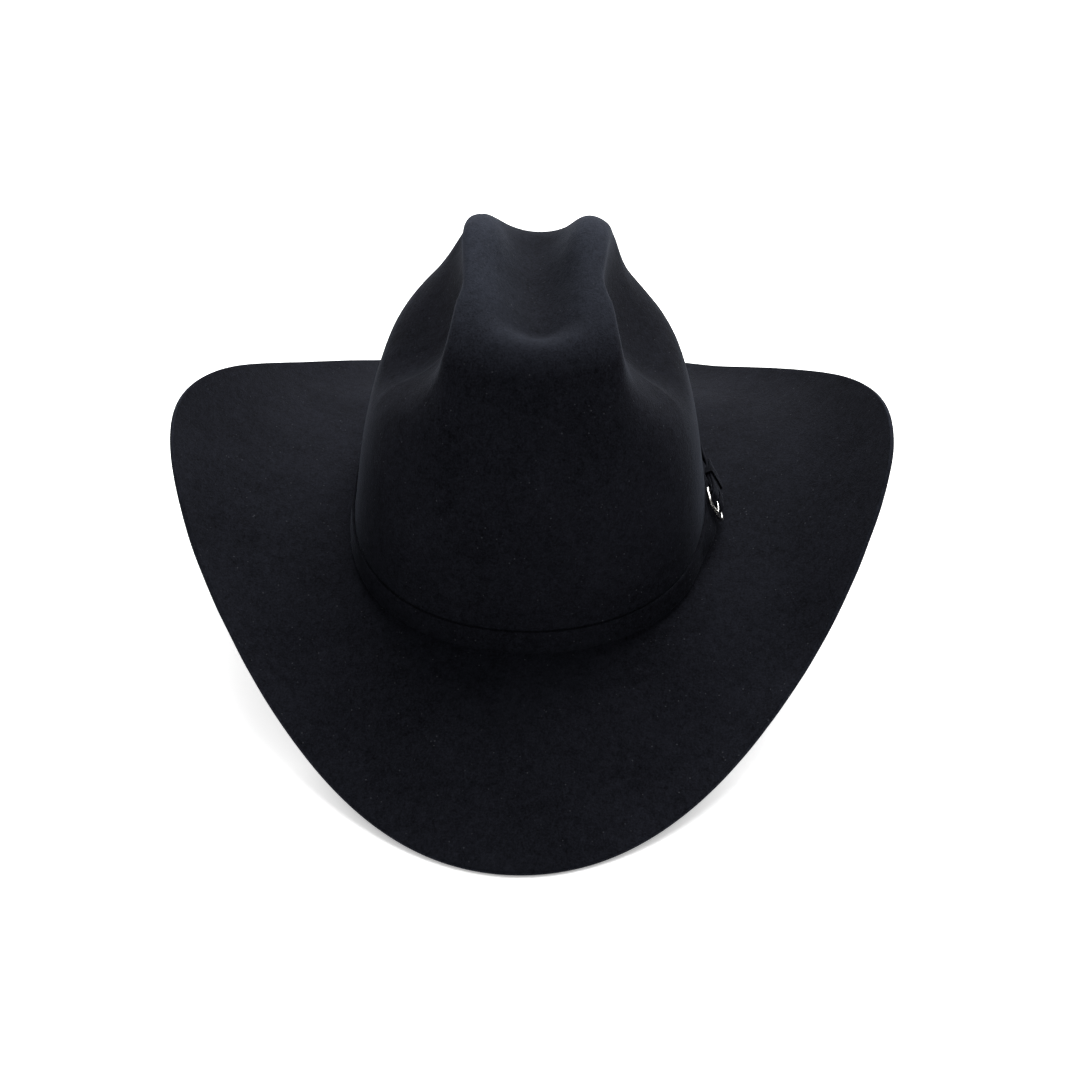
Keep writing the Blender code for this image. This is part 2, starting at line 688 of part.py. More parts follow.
def make_tongue():
    """Flat tongue that wraps the heel bar and lies over the front of the frame."""
    metal = material("tongue_silver", (0.66, 0.65, 0.62), 0.25, 1.0)
    path = []
    for k in range(0, 14):
        a = math.radians(-195.0 + 285.0 * k / 13)
        path.append((1.2 * math.cos(a), BAR_OUT + 1.2 * math.sin(a), 0.35, 0.95))
    path += [(-2.2, 3.2, 0.35, 0.95), (-4.0, 3.7, 0.35, 0.9), (-6.0, 4.15, 0.35, 0.8),
             (-8.0, 4.45, 0.35, 0.75), (-10.0, 4.6, 0.35, 0.7), (-12.0, 4.6, 0.32, 0.6),
             (-13.0, 4.45, 0.22, 0.4)]
    line = np.array([p[:2] for p in path])
    ahead = np.gradient(line, axis=0)
    ahead /= np.linalg.norm(ahead, axis=1, keepdims=True)
    rings = []
    for (t, n, deep, wide), (at, an) in zip(path, ahead):
        ring = []
        for cu, cn in ((1, 0.5), (0.5, 1), (-0.5, 1), (-1, 0.5),
                       (-1, -0.5), (-0.5, -1), (0.5, -1), (1, -0.5)):
            ring.append(place(t - an * deep * cn, n + at * deep * cn, wide * cu))
        rings.append(ring)
    hinge = place(0.0, BAR_OUT, 0.0)
    return add_body("buckle_tongue", *tube(rings, False), metal, hinge)


def make_keeper():
    """Loop that holds the free end of the strap down."""
    made = material("keeper_felt", (0.012, 0.013, 0.016), 0.88)
    inner = [(0.90, -5.55), (3.95, -5.55), (3.95, 5.55), (0.90, 5.55)]
    outer = [(0.45, -6.15), (4.55, -6.15), (4.55, 6.15), (0.45, 6.15)]
    rings = []
    for k in range(4):
        n0, u0 = inner[k]
        n1, u1 = outer[k]
        ring = []
        for t, n, u in ((-1, n0, u0), (1, n0, u0), (1, n1, u1), (-1, n1, u1)):
            ring.append(place(KEEPER_AT + 0.5 * KEEPER_WIDE * t, n, u))
        rings.append(ring)
    rest = place(KEEPER_AT, 2.45, 0.0)
    return add_body("band_keeper", *tube(rings, True), made, rest)


# ------------------------------------------------------------------ the whole hat


def build_hat():
    clear_scene()
    angle, grid, normal, peak = felt_surface()
    make_felt(angle, grid, normal, peak)
    make_lining(grid, normal, peak)
    make_sweatband(angle)
    make_strap()
    make_frame()
    make_tongue()
    make_keeper()


build_hat()
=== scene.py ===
"""Look of the black felt cowboy hat: fine shapes, materials, floor, light and camera."""

import math

import bmesh
import bpy
import numpy as np
from mathutils import Matrix, Vector


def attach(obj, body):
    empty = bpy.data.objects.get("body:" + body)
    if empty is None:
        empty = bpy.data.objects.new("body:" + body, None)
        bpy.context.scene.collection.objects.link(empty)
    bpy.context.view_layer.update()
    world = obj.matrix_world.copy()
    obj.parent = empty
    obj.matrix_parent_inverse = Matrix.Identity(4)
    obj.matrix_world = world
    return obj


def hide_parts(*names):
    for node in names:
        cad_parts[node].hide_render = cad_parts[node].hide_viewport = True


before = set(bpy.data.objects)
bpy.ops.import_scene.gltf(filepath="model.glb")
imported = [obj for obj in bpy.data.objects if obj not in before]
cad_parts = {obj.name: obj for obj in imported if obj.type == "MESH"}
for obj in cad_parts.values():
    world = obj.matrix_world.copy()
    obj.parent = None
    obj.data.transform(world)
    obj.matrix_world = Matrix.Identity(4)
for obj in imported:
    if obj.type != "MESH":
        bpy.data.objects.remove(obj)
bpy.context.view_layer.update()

# ------------------------------------------------------------------ sizes, in millimetres
MM = 0.001
FELT = 2.5                 # thickness of the felt
LIFT = 1.6                 # raises the body so that the brim tips rest on z = 0
BRIM_HALF_WIDTH = 166.4
BRIM_HALF_LENGTH = 209.4
BRIM_SQUARE = 0.128
BRIM_EGG = -0.10
ROLL_HEIGHT = 86.5
ROLL_POWER = 3.18
ROLL_EGG = -0.165
HEAD_HALF_WIDTH = 85.1
HEAD_HALF_LENGTH = 109.2
HEAD_SQUARE = -0.118
HEAD_SHIFT = -1.0
BREAK_HEIGHT = 29.3
BREAK_SADDLE = 9.1
BREAK_RADIUS = 2.0
CROWN_TOP = 191.7
CROWN_FRONT = 161.0
CROWN_BACK = 174.5
CROWN_SPRING = 72.4
CROWN_POWER = 1.974
CROWN_SCALE = 82.0         # brings the crown's relative field to about millimetres
TAPER_X = 0.157
TAPER_Y = 0.128
CROWN_CENTRE = 84.0
# tapered capsules: where each end is and its radius
CREASE = ((0, -40, 164), (0, 90, 169), 12.0, 16.0)
CREASE_FLAT = 1.2          # the crease is this much deeper than round
DENT_RIGHT = ((70.0, -64.1, 152.5, 28.7), (69.8, -15.2, 153.6, 39.0),
              (66.0, 62.4, 165.2, 31.8))
DENT_LEFT = ((69.4, -62.9, 151.3, 30.7), (71.0, -12.8, 151.7, 41.9),
             (78.2, 62.2, 159.5, 39.7))
SWEAT_TALL = 54.0
SWEAT_THICK = 1.1
SWEAT_OFF = 1.7            # from the inside of the felt to the sweatband
SWEAT_FOOT = 0.5           # its lower edge over the break
SWEAT_BACK = FELT + SWEAT_OFF + SWEAT_THICK
SEAM_RISE = 4.0            # the row of stitches over the break
BOW_RISE = 9.6
LINING_OFF = 0.35
LINING_THICK = 0.4
LINING_TOP = FELT + LINING_OFF      # its outer face under the outside of the felt
LINING_LOW = LINING_TOP + LINING_THICK
BAND_TALL = 10.5
BAND_FOOT = 2.0            # lower edge of the band over the break
STRAP_HALF = 0.55          # half the thickness of the band
TAIL_HALF = 0.5            # the same at its free end
FOLD_HALF = 0.35           # the same where it is pared down for the fold
PLAIN_FROM = 48.0          # the band lies single and flat from here
PLAIN_UNTIL = 20.0         # up to this far in front of the heel bar
BAND_LIFT = 2.6            # how far the band climbs to let the buckle clear the brim
BAND_LEAN = math.radians(20.0)      # the brim pushes the foot of the band out there
LEAN_OVER = 0.6            # the band turns about a line this far over its upper edge
BAND_OUT = 0.9             # middle of the band to the outside of the felt
SLOT_CLIMB = 3.5           # how much further out it passes over the heel bar
CLEAR = 0.3
BUCKLE_ANGLE = math.radians(-11.5)
BAR_RADIUS = 0.7
BAR_OUT = 2.0
LOOP_RADIUS = 1.25
FRAME_LONG = 11.0
FRAME_HALF = 6.75
FRAME_RISE = 1.2
TAIL_END = 30.0
KEEPER_AT = 15.5
KEEPER_WIDE = 5.0
EDGE_ROUND = 0.8           # rounding of the cut edge of the brim

# ------------------------------------------------------------------ sizes in metres, and light
LIT_TOP_FROM = 0.148          # painted light: the felt is drawn paler from here up, on the ridges, where the light from behind falls
LIT_TOP_TO = 0.172
SKY = (0.10, 0.66)         # brightness of the sky at the horizon and overhead
SUN = 5.0                  # strength of the soft sun
REAR = 16.0                # watts of the lamp behind the hat
CAMERA_TURN = math.radians(1.61)
CAMERA_DOWN = math.radians(36.4)
CAMERA_AWAY = 0.6999       # from the camera to its target
CAMERA_LENS = 52.3         # in millimetres, on a sensor 36 mm wide
CAMERA_TARGET = (0.004016, -0.0673, 0.061)
SIDE_CUT = (0.086, 0.560)  # strip of satin round the sides
GLOW = (0.12, 0.68)        # painted light: the floor glows by itself, and less towards the front, which paints a soft shadow round the brim's tip
SHADOW_PAINT_SPAN = (-0.215, -0.15)

# ------------------------------------------------------------------ counts and directions
AROUND = 384               # facets around the felt
CAP_ROWS = 96              # rings of the creased top
WALL_ROWS = 24
BEND_ROWS = 9
LEAF_ROWS = 66             # rings of the brim
SOFT_ROUNDS = 80           # how far the inner layers even out the creases of the felt
SEAM_ROW = 47              # the lining's piping lies between this ring and the next
SIDE_END = 103             # last ring of the side lining
SHIELD_ROWS = 23
BACK = 0.5 * math.pi       # direction of the back of the hat

# ------------------------------------------------------------------ the form of the felt


def smooth(value, low, high):
    t = np.clip((value - low) / (high - low), 0.0, 1.0)
    return t * t * (3.0 - 2.0 * t)


def smooth_max(a, b, k):
    h = np.clip(0.5 + 0.5 * (a - b) / k, 0.0, 1.0)
    return b + (a - b) * h + k * h * (1.0 - h)


def unit(rows):
    return rows / np.linalg.norm(rows, axis=-1, keepdims=True)


def square_to(way, rows):
    """Unit vectors along the part of rows that is square to way."""
    return unit(rows - way * np.sum(rows * way, axis=1, keepdims=True))


def sideways(line):
    """Unit vectors square to a line in a plane."""
    ahead = unit(np.gradient(line, axis=0))
    return np.stack([-ahead[:, 1], ahead[:, 0]], 1)


def circle(count):
    return np.arange(count) * 2.0 * math.pi / count


def polar(rho, angle, z):
    return np.stack([rho * np.cos(angle), rho * np.sin(angle), z], -1)


def oval(angle, half_x, half_y, square):
    c = np.cos(angle)
    s = np.sin(angle)
    four = (2.0 * s * c) ** 2
    return (c * c / half_x ** 2 + s * s / half_y ** 2
            + square * four / (half_x * half_y)) ** -0.5


def round_cone(x, y, z, start, end, r_start, r_end, stretch):
    """Distance to a tapered capsule; stretch flattens it along z."""
    sx, sy, sz = start
    ex, ey, ez = end
    dx, dy, dz = ex - sx, ey - sy, (ez - sz) / stretch
    px, py, pz = x - sx, y - sy, (z - sz) / stretch
    t = np.clip((px * dx + py * dy + pz * dz) / (dx * dx + dy * dy + dz * dz), 0.0, 1.0)
    gap = np.sqrt((px - t * dx) ** 2 + (py - t * dy) ** 2 + (pz - t * dz) ** 2)
    return gap - (r_start + (r_end - r_start) * t)


def side_dent(x, y, z, balls):
    parts = []
    for a, b in zip(balls[:-1], balls[1:]):
        parts.append(round_cone(x, y, z, a[:3], b[:3], a[3], b[3], 1.0))
    return np.minimum(*parts)


def crown_field(x, y, z):
    """Negative inside the creased crown, zero on its outer surface."""
    up = z - BREAK_HEIGHT - BREAK_SADDLE
    half_x = HEAD_HALF_WIDTH - TAPER_X * up
    half_y = HEAD_HALF_LENGTH - TAPER_Y * up
    yy = y - HEAD_SHIFT
    angle = np.arctan2(yy, x)
    q = np.hypot(x, yy) / oval(angle, half_x, half_y, HEAD_SQUARE)
    rise = np.clip((z - CROWN_SPRING) / (CROWN_TOP - CROWN_SPRING), 0.0, None)
    n = CROWN_POWER
    field = ((q ** n + rise ** n) ** (1.0 / n) - 1.0) * CROWN_SCALE
    # the top is drawn down to a level line, a little higher at the back
    xc = x - 1.2 - 3.0 * smooth(-y, -20.0, 60.0)
    ceiling = CROWN_FRONT + (CROWN_BACK - CROWN_FRONT) * smooth(y, -60.0, 50.0)
    field = smooth_max(field, z - ceiling, 16.0)
    # centre crease: a trough from the brow to the back
    crease = round_cone(xc, y, z, *CREASE, CREASE_FLAT)
    field = smooth_max(field, -crease, 17.0)
    # side dents: crisp along the ridge, fading out softly below
    dent = np.minimum(side_dent(-xc, y, z, DENT_RIGHT), side_dent(xc, y, z, DENT_LEFT))
    return smooth_max(field, -dent, 4.0 + 10.0 * smooth(-z, -150.0, -128.0))


def ray_hit(origin, direction, near, far, steps=44):
    """Distance along each ray at which the crown field crosses zero."""
    low = np.full(direction.shape[1:], near)
    high = np.full(direction.shape[1:], far)
    for _ in range(steps):
        mid = 0.5 * (low + high)
        x, y, z = (origin[i] + direction[i] * mid for i in range(3))
        inside = crown_field(x, y, z) < 0.0
        low = np.where(inside, mid, low)
        high = np.where(inside, high, mid)
    return 0.5 * (low + high)


def break_height(angle):
    return BREAK_HEIGHT + BREAK_SADDLE * np.cos(angle) ** 2


def wall_radius(angle, height):
    """Distance of the outer crown wall from the axis at a given height."""
    foot = break_height(angle) + BREAK_RADIUS
    z = np.maximum(height, foot)
    flat = np.zeros_like(z)
    way = np.stack([np.cos(angle) + flat, np.sin(angle) + flat, flat])
    return ray_hit((flat, flat, z), way, 40.0, 140.0)


def brim_edge(angle):
    egg = BRIM_SQUARE + BRIM_EGG * np.sin(angle)
    rho = oval(angle, BRIM_HALF_WIDTH, BRIM_HALF_LENGTH, egg)
    power = ROLL_POWER + ROLL_EGG * np.sin(angle)
    share = np.abs(rho * np.cos(angle)) / BRIM_HALF_WIDTH
    height = ROLL_HEIGHT * share ** power
    slope = ROLL_HEIGHT * power * share ** (power - 1.0) / BRIM_HALF_WIDTH
    return rho, height, slope * np.abs(np.cos(angle))


def felt_rings(angle, caps, walls, bends, leaves):
    """Outer surface of the felt as rings, from the top of the crown to the brim edge.

    Each argument after the angles lists positions from 0 to 1 within that zone.
    """
    c = np.cos(angle)
    s = np.sin(angle)
    zero = np.zeros_like(angle)
    rings = []
    for share in caps:
        tilt = 0.5 * math.pi * share
        way = np.stack([math.sin(tilt) * c, math.sin(tilt) * s, math.cos(tilt) + zero])
        r = ray_hit((zero, zero, zero + CROWN_CENTRE), way, 20.0, 150.0)
        rings.append(np.stack([way[0] * r, way[1] * r, CROWN_CENTRE + way[2] * r], 1))
    foot = break_height(angle) + BREAK_RADIUS
    for share in walls:
        z = CROWN_CENTRE + (foot - CROWN_CENTRE) * share
        rho = wall_radius(angle, z)
        rings.append(polar(rho, angle, z))
    rho_foot = wall_radius(angle, foot)
    leave = np.arctan(0.16 * c ** 2 - 0.17 * s ** 2)
    for share in bends:
        a = (BACK + leave) * share
        rho = rho_foot + BREAK_RADIUS * (1.0 - np.cos(a))
        z = foot - BREAK_RADIUS * np.sin(a)
        rings.append(polar(rho, angle, z))
    rho_edge, z_edge, slope = brim_edge(angle)
    arrive = np.arctan(slope - 0.33 * np.abs(s) ** 3)
    start, end = np.stack([rho, z]), np.stack([rho_edge, z_edge])
    reach = 0.36 * np.hypot(*(end - start))
    inner = start + reach * np.stack([np.cos(leave), np.sin(leave)])
    outer = end - reach * np.stack([np.cos(arrive), np.sin(arrive)])
    for t in leaves:
        rho, z = ((1 - t) ** 3 * start + 3 * t * (1 - t) ** 2 * inner
                  + 3 * t * t * (1 - t) * outer + t ** 3 * end)
        rings.append(polar(rho, angle, z))
    grid = np.array(rings)
    grid[:, :, 2] += LIFT
    return grid


def fractions(count):
    """Evenly spaced positions above 0 and up to 1."""
    return [k / count for k in range(1, count + 1)]


# ------------------------------------------------------------------ band coordinates


def build_track():
    """Middle line of the hat band, measured rearwards from the heel bar."""
    angle = np.linspace(0.0, 2.0 * math.pi, 1441)[:-1] + BUCKLE_ANGLE
    rho = wall_radius(angle, break_height(angle) + 6.0)
    run = np.hypot(rho * np.cos(angle), rho * np.sin(angle)) * (2.0 * math.pi / 1440)
    rough = np.cumsum(run) - run[0]
    total = rough[-1] + run[-1]
    near = np.where(rough > 0.5 * total, rough - total, rough)
    climb = smooth(near, -62.0, -20.0) * (1.0 - smooth(near, 50.0, 95.0))
    low = break_height(angle) + BAND_FOOT + 0.5 * BAND_TALL + BAND_LIFT * climb
    points = []
    for z in (low, low + 6.0):
        rho = wall_radius(angle, z)
        points.append(polar(rho, angle, z + LIFT))
    mid, top = points
    ahead = np.roll(mid, -1, axis=0) - np.roll(mid, 1, axis=0)
    ahead = unit(ahead)
    up = square_to(ahead, top - mid)
    out = np.cross(ahead, up)
    lean = BAND_LEAN * smooth(near, -40.0, -18.0) * (1.0 - smooth(near, 22.0, 48.0))
    c, s = np.cos(lean)[:, None], np.sin(lean)[:, None]
    mid = mid + out * s * (0.5 * BAND_TALL + LEAN_OVER)
    out, up = out * c + up * s, up * c - out * s
    step = np.linalg.norm(np.roll(mid, -1, axis=0) - mid, axis=1)
    length = np.concatenate([[0.0], np.cumsum(step)])
    rows = [np.concatenate([a, a[:1]]) for a in (mid, out, up)]
    return length, rows


TRACK_LENGTH, TRACK_ROWS = build_track()
ROUND = float(TRACK_LENGTH[-1])


def on_track(t):
    """Point, outward direction and upward direction of the band line at t."""
    t = np.mod(np.asarray(t, float), ROUND)
    picked = []
    for rows in TRACK_ROWS:
        cols = [np.interp(t, TRACK_LENGTH, rows[:, i]) for i in range(3)]
        picked.append(np.stack(cols, -1))
    return picked


def place(t, n, u):
    """Local position (along, outward, up) on the band as a point in space."""
    point, out, up = on_track(t)
    n = np.asarray(n, float)[..., None]
    u = np.asarray(u, float)[..., None]
    return point + out * n + up * u


def step(t, low, high):
    return float(smooth(np.array(t), low, high))


# ------------------------------------------------------------------ mesh helpers


def ripple(points, size, seed):
    """Smooth random field of about unit height; size is its typical length."""
    dice = np.random.default_rng(seed)
    total = np.zeros(points.shape[:-1])
    waves, spread = 26, 3.6
    for _ in range(waves):
        way = dice.normal(size=3)
        way *= 2.0 * math.pi * dice.uniform(0.7, 1.4) / (size * np.linalg.norm(way))
        total += np.sin(points @ way + dice.uniform(0.0, 2.0 * math.pi))
    return total / spread


def grid_normals(grid, closed=True):
    """Unit normals of a grid of points, from its neighbours in both directions."""
    if closed:
        around = np.roll(grid, -1, axis=1) - np.roll(grid, 1, axis=1)
    else:
        around = np.gradient(grid, axis=1)
    along = np.gradient(grid, axis=0)
    n = np.cross(along, around)
    return n / (np.linalg.norm(n, axis=2, keepdims=True) + 1e-12)


def relax(grid, rounds, weight=0.5):
    """Softens a closed grid of rings without moving its first and last ring."""
    for _ in range(rounds):
        side = 0.25 * (np.roll(grid, 1, axis=1) + np.roll(grid, -1, axis=1))
        side[1:-1] += 0.25 * (grid[2:] + grid[:-2])
        soft = grid.copy()
        soft[1:-1] += weight * (side[1:-1] - grid[1:-1])
        grid = soft
    return grid


def spline(points, steps, closed=False):
    """Catmull-Rom curve through rows of numbers, with steps parts per gap."""
    p = np.asarray(points, float)
    count = len(p)
    if closed:
        p = np.concatenate([p[-1:], p, p[:2]])
    else:
        p = np.concatenate([2 * p[:1] - p[1:2], p, 2 * p[-1:] - p[-2:-1]])
    gaps = count if closed else count - 1
    rows = []
    for k in range(gaps):
        a, b, c, d = p[k:k + 4]
        for m in range(steps):
            t = m / steps
            rows.append(0.5 * (2 * b + (c - a) * t + (2 * a - 5 * b + 4 * c - d) * t * t
                               + (3 * b - a - 3 * c + d) * t ** 3))
    if not closed:
        rows.append(p[-2])
    return np.array(rows)


def lattice(rows, cols, wrap_rows=False, wrap_cols=False, start=0):
    """Quads of a grid of points numbered row by row."""
    i = np.arange(rows if wrap_rows else rows - 1)
    j = np.arange(cols if wrap_cols else cols - 1)
    i, j = np.meshgrid(i, j, indexing="ij")
    ii, jj = (i + 1) % rows, (j + 1) % cols
    quads = np.stack([i * cols + j, i * cols + jj, ii * cols + jj, ii * cols + j], -1)
    return (quads.reshape(-1, 4) + start).tolist()


def piece(name, points, faces, look, body, stands_for=(), relief=None,
          faces_look=None, second=None, uv=None):
    """One mesh object, in millimetres, riding on a body of the frame."""
    mesh = bpy.data.meshes.new(name)
    mesh.from_pydata((np.asarray(points, float) * MM).tolist(), [], faces)
    mesh.validate()
    mesh.materials.append(look)
    if len(mesh.polygons) == len(faces) and faces_look is not None:
        mesh.materials.append(second)
        mesh.polygons.foreach_set("material_index", np.asarray(faces_look, "i"))
    mesh.polygons.foreach_set("use_smooth", [True] * len(mesh.polygons))
    if relief is not None:
        layer = mesh.attributes.new("relief", "FLOAT", "POINT")
        layer.data.foreach_set("value", np.asarray(relief, "f"))
    if uv is not None:
        layer = mesh.uv_layers.new(name="flat")
        loops = np.empty(len(mesh.loops), "i")
        mesh.loops.foreach_get("vertex_index", loops)
        layer.data.foreach_set("uv", np.asarray(uv, "f")[loops].ravel())
    made = bpy.data.objects.new(name, mesh)
    bpy.context.scene.collection.objects.link(made)
    set_outward(made)
    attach(made, body)
    if stands_for:
        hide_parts(*stands_for)
    return made


def set_outward(made):
    """Turns all faces so that they look out of the closed body."""
    work = bmesh.new()
    work.from_mesh(made.data)
    bmesh.ops.recalc_face_normals(work, faces=work.faces)
    work.to_mesh(made.data)
    work.free()


def close_ends(faces, count, around):
    """Fans over both ends of a stack of rings; their middle points follow the rings."""
    top, end = count * around, (count - 1) * around
    for i in range(around):
        ii = (i + 1) % around
        faces.append([top, ii, i])
        faces.append([top + 1, end + i, end + ii])


def middles(outer, inner):
    return [outer[0].mean(axis=0), inner[0].mean(axis=0)]


def skin(outer, inner, dome=False, wrap=True):
    """Closed body between two grids of rings, with a closed top where it is a dome."""
    rows = np.concatenate([outer, inner[::-1]])
    count, around = rows.shape[:2]
    faces = lattice(count, around, wrap_rows=not dome, wrap_cols=wrap)
    points = rows.reshape(-1, 3)
    if dome:
        points = np.concatenate([points, middles(outer, inner)])
        close_ends(faces, count, around)
    if not wrap:
        half = count // 2
        for j in range(half - 1):
            a, b, c, d = j, j + 1, count - 2 - j, count - 1 - j
            edge = around - 1
            faces.append([k * around for k in (a, b, c, d)])
            faces.append([k * around + edge for k in (d, c, b, a)])
    return points, faces


def swept(rings, closed):
    """Closed body from cross-sections that all have the same number of points."""
    rings = np.asarray(rings, float)
    count, around = rings.shape[:2]
    faces = lattice(count, around, wrap_rows=closed, wrap_cols=True)
    points = rings.reshape(-1, 3)
    if not closed:
        ends = [rings[0].mean(axis=0), rings[-1].mean(axis=0)]
        points = np.concatenate([points, ends])
        close_ends(faces, count, around)
    return points, faces


def cord_rings(line, radius, sides, closed, hint):
    """Round cross-sections along a line; hint is a direction for each point."""
    if closed:
        ahead = np.roll(line, -1, axis=0) - np.roll(line, 1, axis=0)
    else:
        ahead = np.gradient(line, axis=0)
    ahead = unit(ahead)
    side = square_to(ahead, hint)
    other = np.cross(ahead, side)
    a = circle(sides)
    size = np.broadcast_to(np.asarray(radius, float), (len(line),))[:, None, None]
    return (line[:, None] + size * (np.cos(a)[None, :, None] * side[:, None]
                                    + np.sin(a)[None, :, None] * other[:, None]))


def joined(parts):
    """One mesh from several pairs of points and faces."""
    points, faces, start = [], [], 0
    for p, f in parts:
        points.append(p)
        faces += [[v + start for v in face] for face in f]
        start += len(p)
    return np.concatenate(points), faces


def arch(count):
    return np.sin(np.linspace(0.0, math.pi, count))


def many_stitches(lines, radius, sides=6):
    """Short rounded threads in one mesh; each line is a row of points."""
    parts = []
    for line, hint in lines:
        line = np.asarray(line, float)
        share = np.linspace(0.0, 1.0, len(line))
        size = radius * np.sqrt(np.clip(1.0 - (2.0 * share - 1.0) ** 4, 0.12, 1.0))
        rings = cord_rings(line, size, sides, False, np.broadcast_to(hint, line.shape))
        parts.append(swept(rings, False))
    return joined(parts)


# ------------------------------------------------------------------ material helpers


class Look:
    """A material whose nodes are added with short calls."""

    def __init__(self, name, **constants):
        self.made = bpy.data.materials.new(name)
        self.made.use_nodes = True
        self.tree = self.made.node_tree
        self.shader = self.tree.nodes["Principled BSDF"]
        for key, value in constants.items():
            self.shader.inputs[key.replace("_", " ")].default_value = value
        self.where = self.node("TexCoord").outputs["Object"]

    def node(self, kind, settings=None, **inputs):
        made = self.tree.nodes.new("ShaderNode" + kind)
        for key, value in (settings or {}).items():
            setattr(made, key, value)
        for key, value in inputs.items():
            self.feed(made.inputs[key.replace("_", " ")], value)
        return made

    def feed(self, socket, value):
        if isinstance(value, bpy.types.NodeSocket):
            self.tree.links.new(value, socket)
        else:
            socket.default_value = value

    def stretch(self, scale, source=None):
        return self.node("Mapping", Scale=scale, Vector=source or self.where).outputs[0]

    def noise(self, size_mm, detail=2.0, rough=0.5, source=None, warp=0.0):
        return self.node("TexNoise", Scale=1000.0 / size_mm, Detail=detail, Roughness=rough,
                         Distortion=warp, Vector=source or self.where).outputs["Fac"]

    def cells(self, size_mm, feature="F1"):
        return self.node("TexVoronoi", {"feature": feature}, Scale=1000.0 / size_mm,
                         Vector=self.where).outputs["Distance"]

    def math(self, kind, a, b=0.0):
        made = self.node("Math", {"operation": kind})
        self.feed(made.inputs[0], a)
        self.feed(made.inputs[1], b)
        return made.outputs[0]

    def total(self, *pairs):
        """Sum of values, each times its weight."""
        parts = [self.math("MULTIPLY", value, weight) for value, weight in pairs]
        made = parts[0]
        for part in parts[1:]:
            made = self.math("ADD", made, part)
        return made

    def span(self, value, low, high, to_low=0.0, to_high=1.0):
        return self.node("MapRange", From_Min=low, From_Max=high, To_Min=to_low,
                         To_Max=to_high, Value=value).outputs[0]

    def blend(self, share, *colours):
        made = self.node("Mix", {"data_type": "RGBA"})
        self.feed(made.inputs[0], share)
        for socket, colour in zip((made.inputs[6], made.inputs[7]), colours):
            fixed = not isinstance(colour, bpy.types.NodeSocket)
            self.feed(socket, (*colour, 1.0) if fixed else colour)
        return made.outputs[2]

    def flat_map(self):
        return self.node("UVMap", {"uv_map": "flat"}).outputs[0]

    def bump(self, height, distance_mm, strength=1.0, under=None):
        made = self.node("Bump", Strength=strength, Distance=distance_mm * MM, Height=height)
        if under is not None:
            self.feed(made.inputs["Normal"], under)
        return made.outputs[0]

    def finish(self, colour=None, roughness=None, normal=None):
        for key, value in (("Base Color", colour), ("Roughness", roughness),
                           ("Normal", normal)):
            if value is not None:
                self.feed(self.shader.inputs[key], value)
        return self.made


def felt_look(name, shade=1.0, sheen=0.05):
    look = Look(name, Sheen_Weight=sheen, Sheen_Roughness=0.26,
                Sheen_Tint=(0.72, 0.80, 1.0, 1.0), Specular_IOR_Level=0.02)
    broad = look.noise(38.0, 3.0, 0.55)
    patch = look.noise(5.0, 4.0, 0.6, warp=0.6)
    nap = look.noise(1.7, 3.0, 0.7, source=look.stretch((1.0, 0.6, 0.85)), warp=0.8)
    fibre = look.noise(0.85, 2.0, 0.7, warp=0.4)
    tone = look.total((broad, 0.16), (patch, 0.16), (nap, 0.30), (fibre, 0.38))
    dark = tuple(shade * v for v in (0.0012, 0.0013, 0.0018))
    light = tuple(shade * v for v in (0.0128, 0.0138, 0.0190))
    colour = look.blend(look.span(tone, 0.34, 0.66), dark, light)
    # painted light: high on the crown the felt is mixed towards a paler blue-grey, which stands
    # in for the light from behind on the ridge tops; the share called worn here is this painted
    # light, not wear
    height = look.node("SeparateXYZ", Vector=look.where).outputs["Z"]
    worn = look.math("MULTIPLY", look.span(height, LIT_TOP_FROM, LIT_TOP_TO),
                     look.span(tone, 0.34, 0.62, 0.25, 0.95))
    colour = look.blend(worn, colour, tuple(shade * v for v in (0.030, 0.034, 0.046)))
    lint = look.span(look.cells(3.1), 0.07, 0.13, 1.0, 0.0)
    rare = look.span(look.noise(7.0, 2.0), 0.50, 0.58)
    speck = look.math("MULTIPLY", look.math("MULTIPLY", lint, rare), 0.50)
    colour = look.blend(speck, colour, (0.060, 0.062, 0.070))
    relief = look.total((nap, 0.55), (fibre, 0.45))
    normal = look.bump(relief, 0.35, 0.9, look.bump(patch, 0.30, 0.5))
    return look.finish(colour, look.span(nap, 0.3, 0.7, 0.90, 0.99), normal)


def metal_look(name, bright, tarnish, rough=0.26):
    look = Look(name, Metallic=1.0)
    depth = look.node("Attribute", {"attribute_name": "relief"}).outputs["Fac"]
    grime = look.noise(2.6, 4.0, 0.6)
    low = look.math("ADD", depth, look.span(grime, 0.3, 0.7, -0.14, 0.14))
    share = look.span(low, 0.16, 0.62)
    colour = look.blend(share, tarnish, bright)
    worn = look.span(look.noise(0.9, 3.0, 0.6), 0.35, 0.7, rough - 0.05, rough + 0.10)
    scratch = look.noise(0.35, 2.0, 0.5, source=look.stretch((0.12, 1.0, 1.0)))
    normal = look.bump(scratch, 0.012, 0.7)
    return look.finish(colour, worn, normal)


def leather_look(name):
    look = Look(name, Specular_IOR_Level=0.42)
    cells = look.cells(1.05, "DISTANCE_TO_EDGE")
    crease = look.span(cells, 0.0, 0.14, 0.0, 1.0)
    broad = look.noise(21.0, 4.0, 0.6)
    fine = look.noise(0.4, 2.0)
    colour = look.blend(look.span(broad, 0.34, 0.68), (0.155, 0.068, 0.028),
                        (0.300, 0.150, 0.068))
    colour = look.blend(look.span(crease, 0.0, 1.0, 0.42, 0.0), colour,
                        (0.060, 0.026, 0.012))
    height = look.math("ADD", crease, look.math("MULTIPLY", fine, 0.35))
    return look.finish(colour, look.span(broad, 0.3, 0.7, 0.38, 0.56),
                       look.bump(height, 0.09, 0.7))


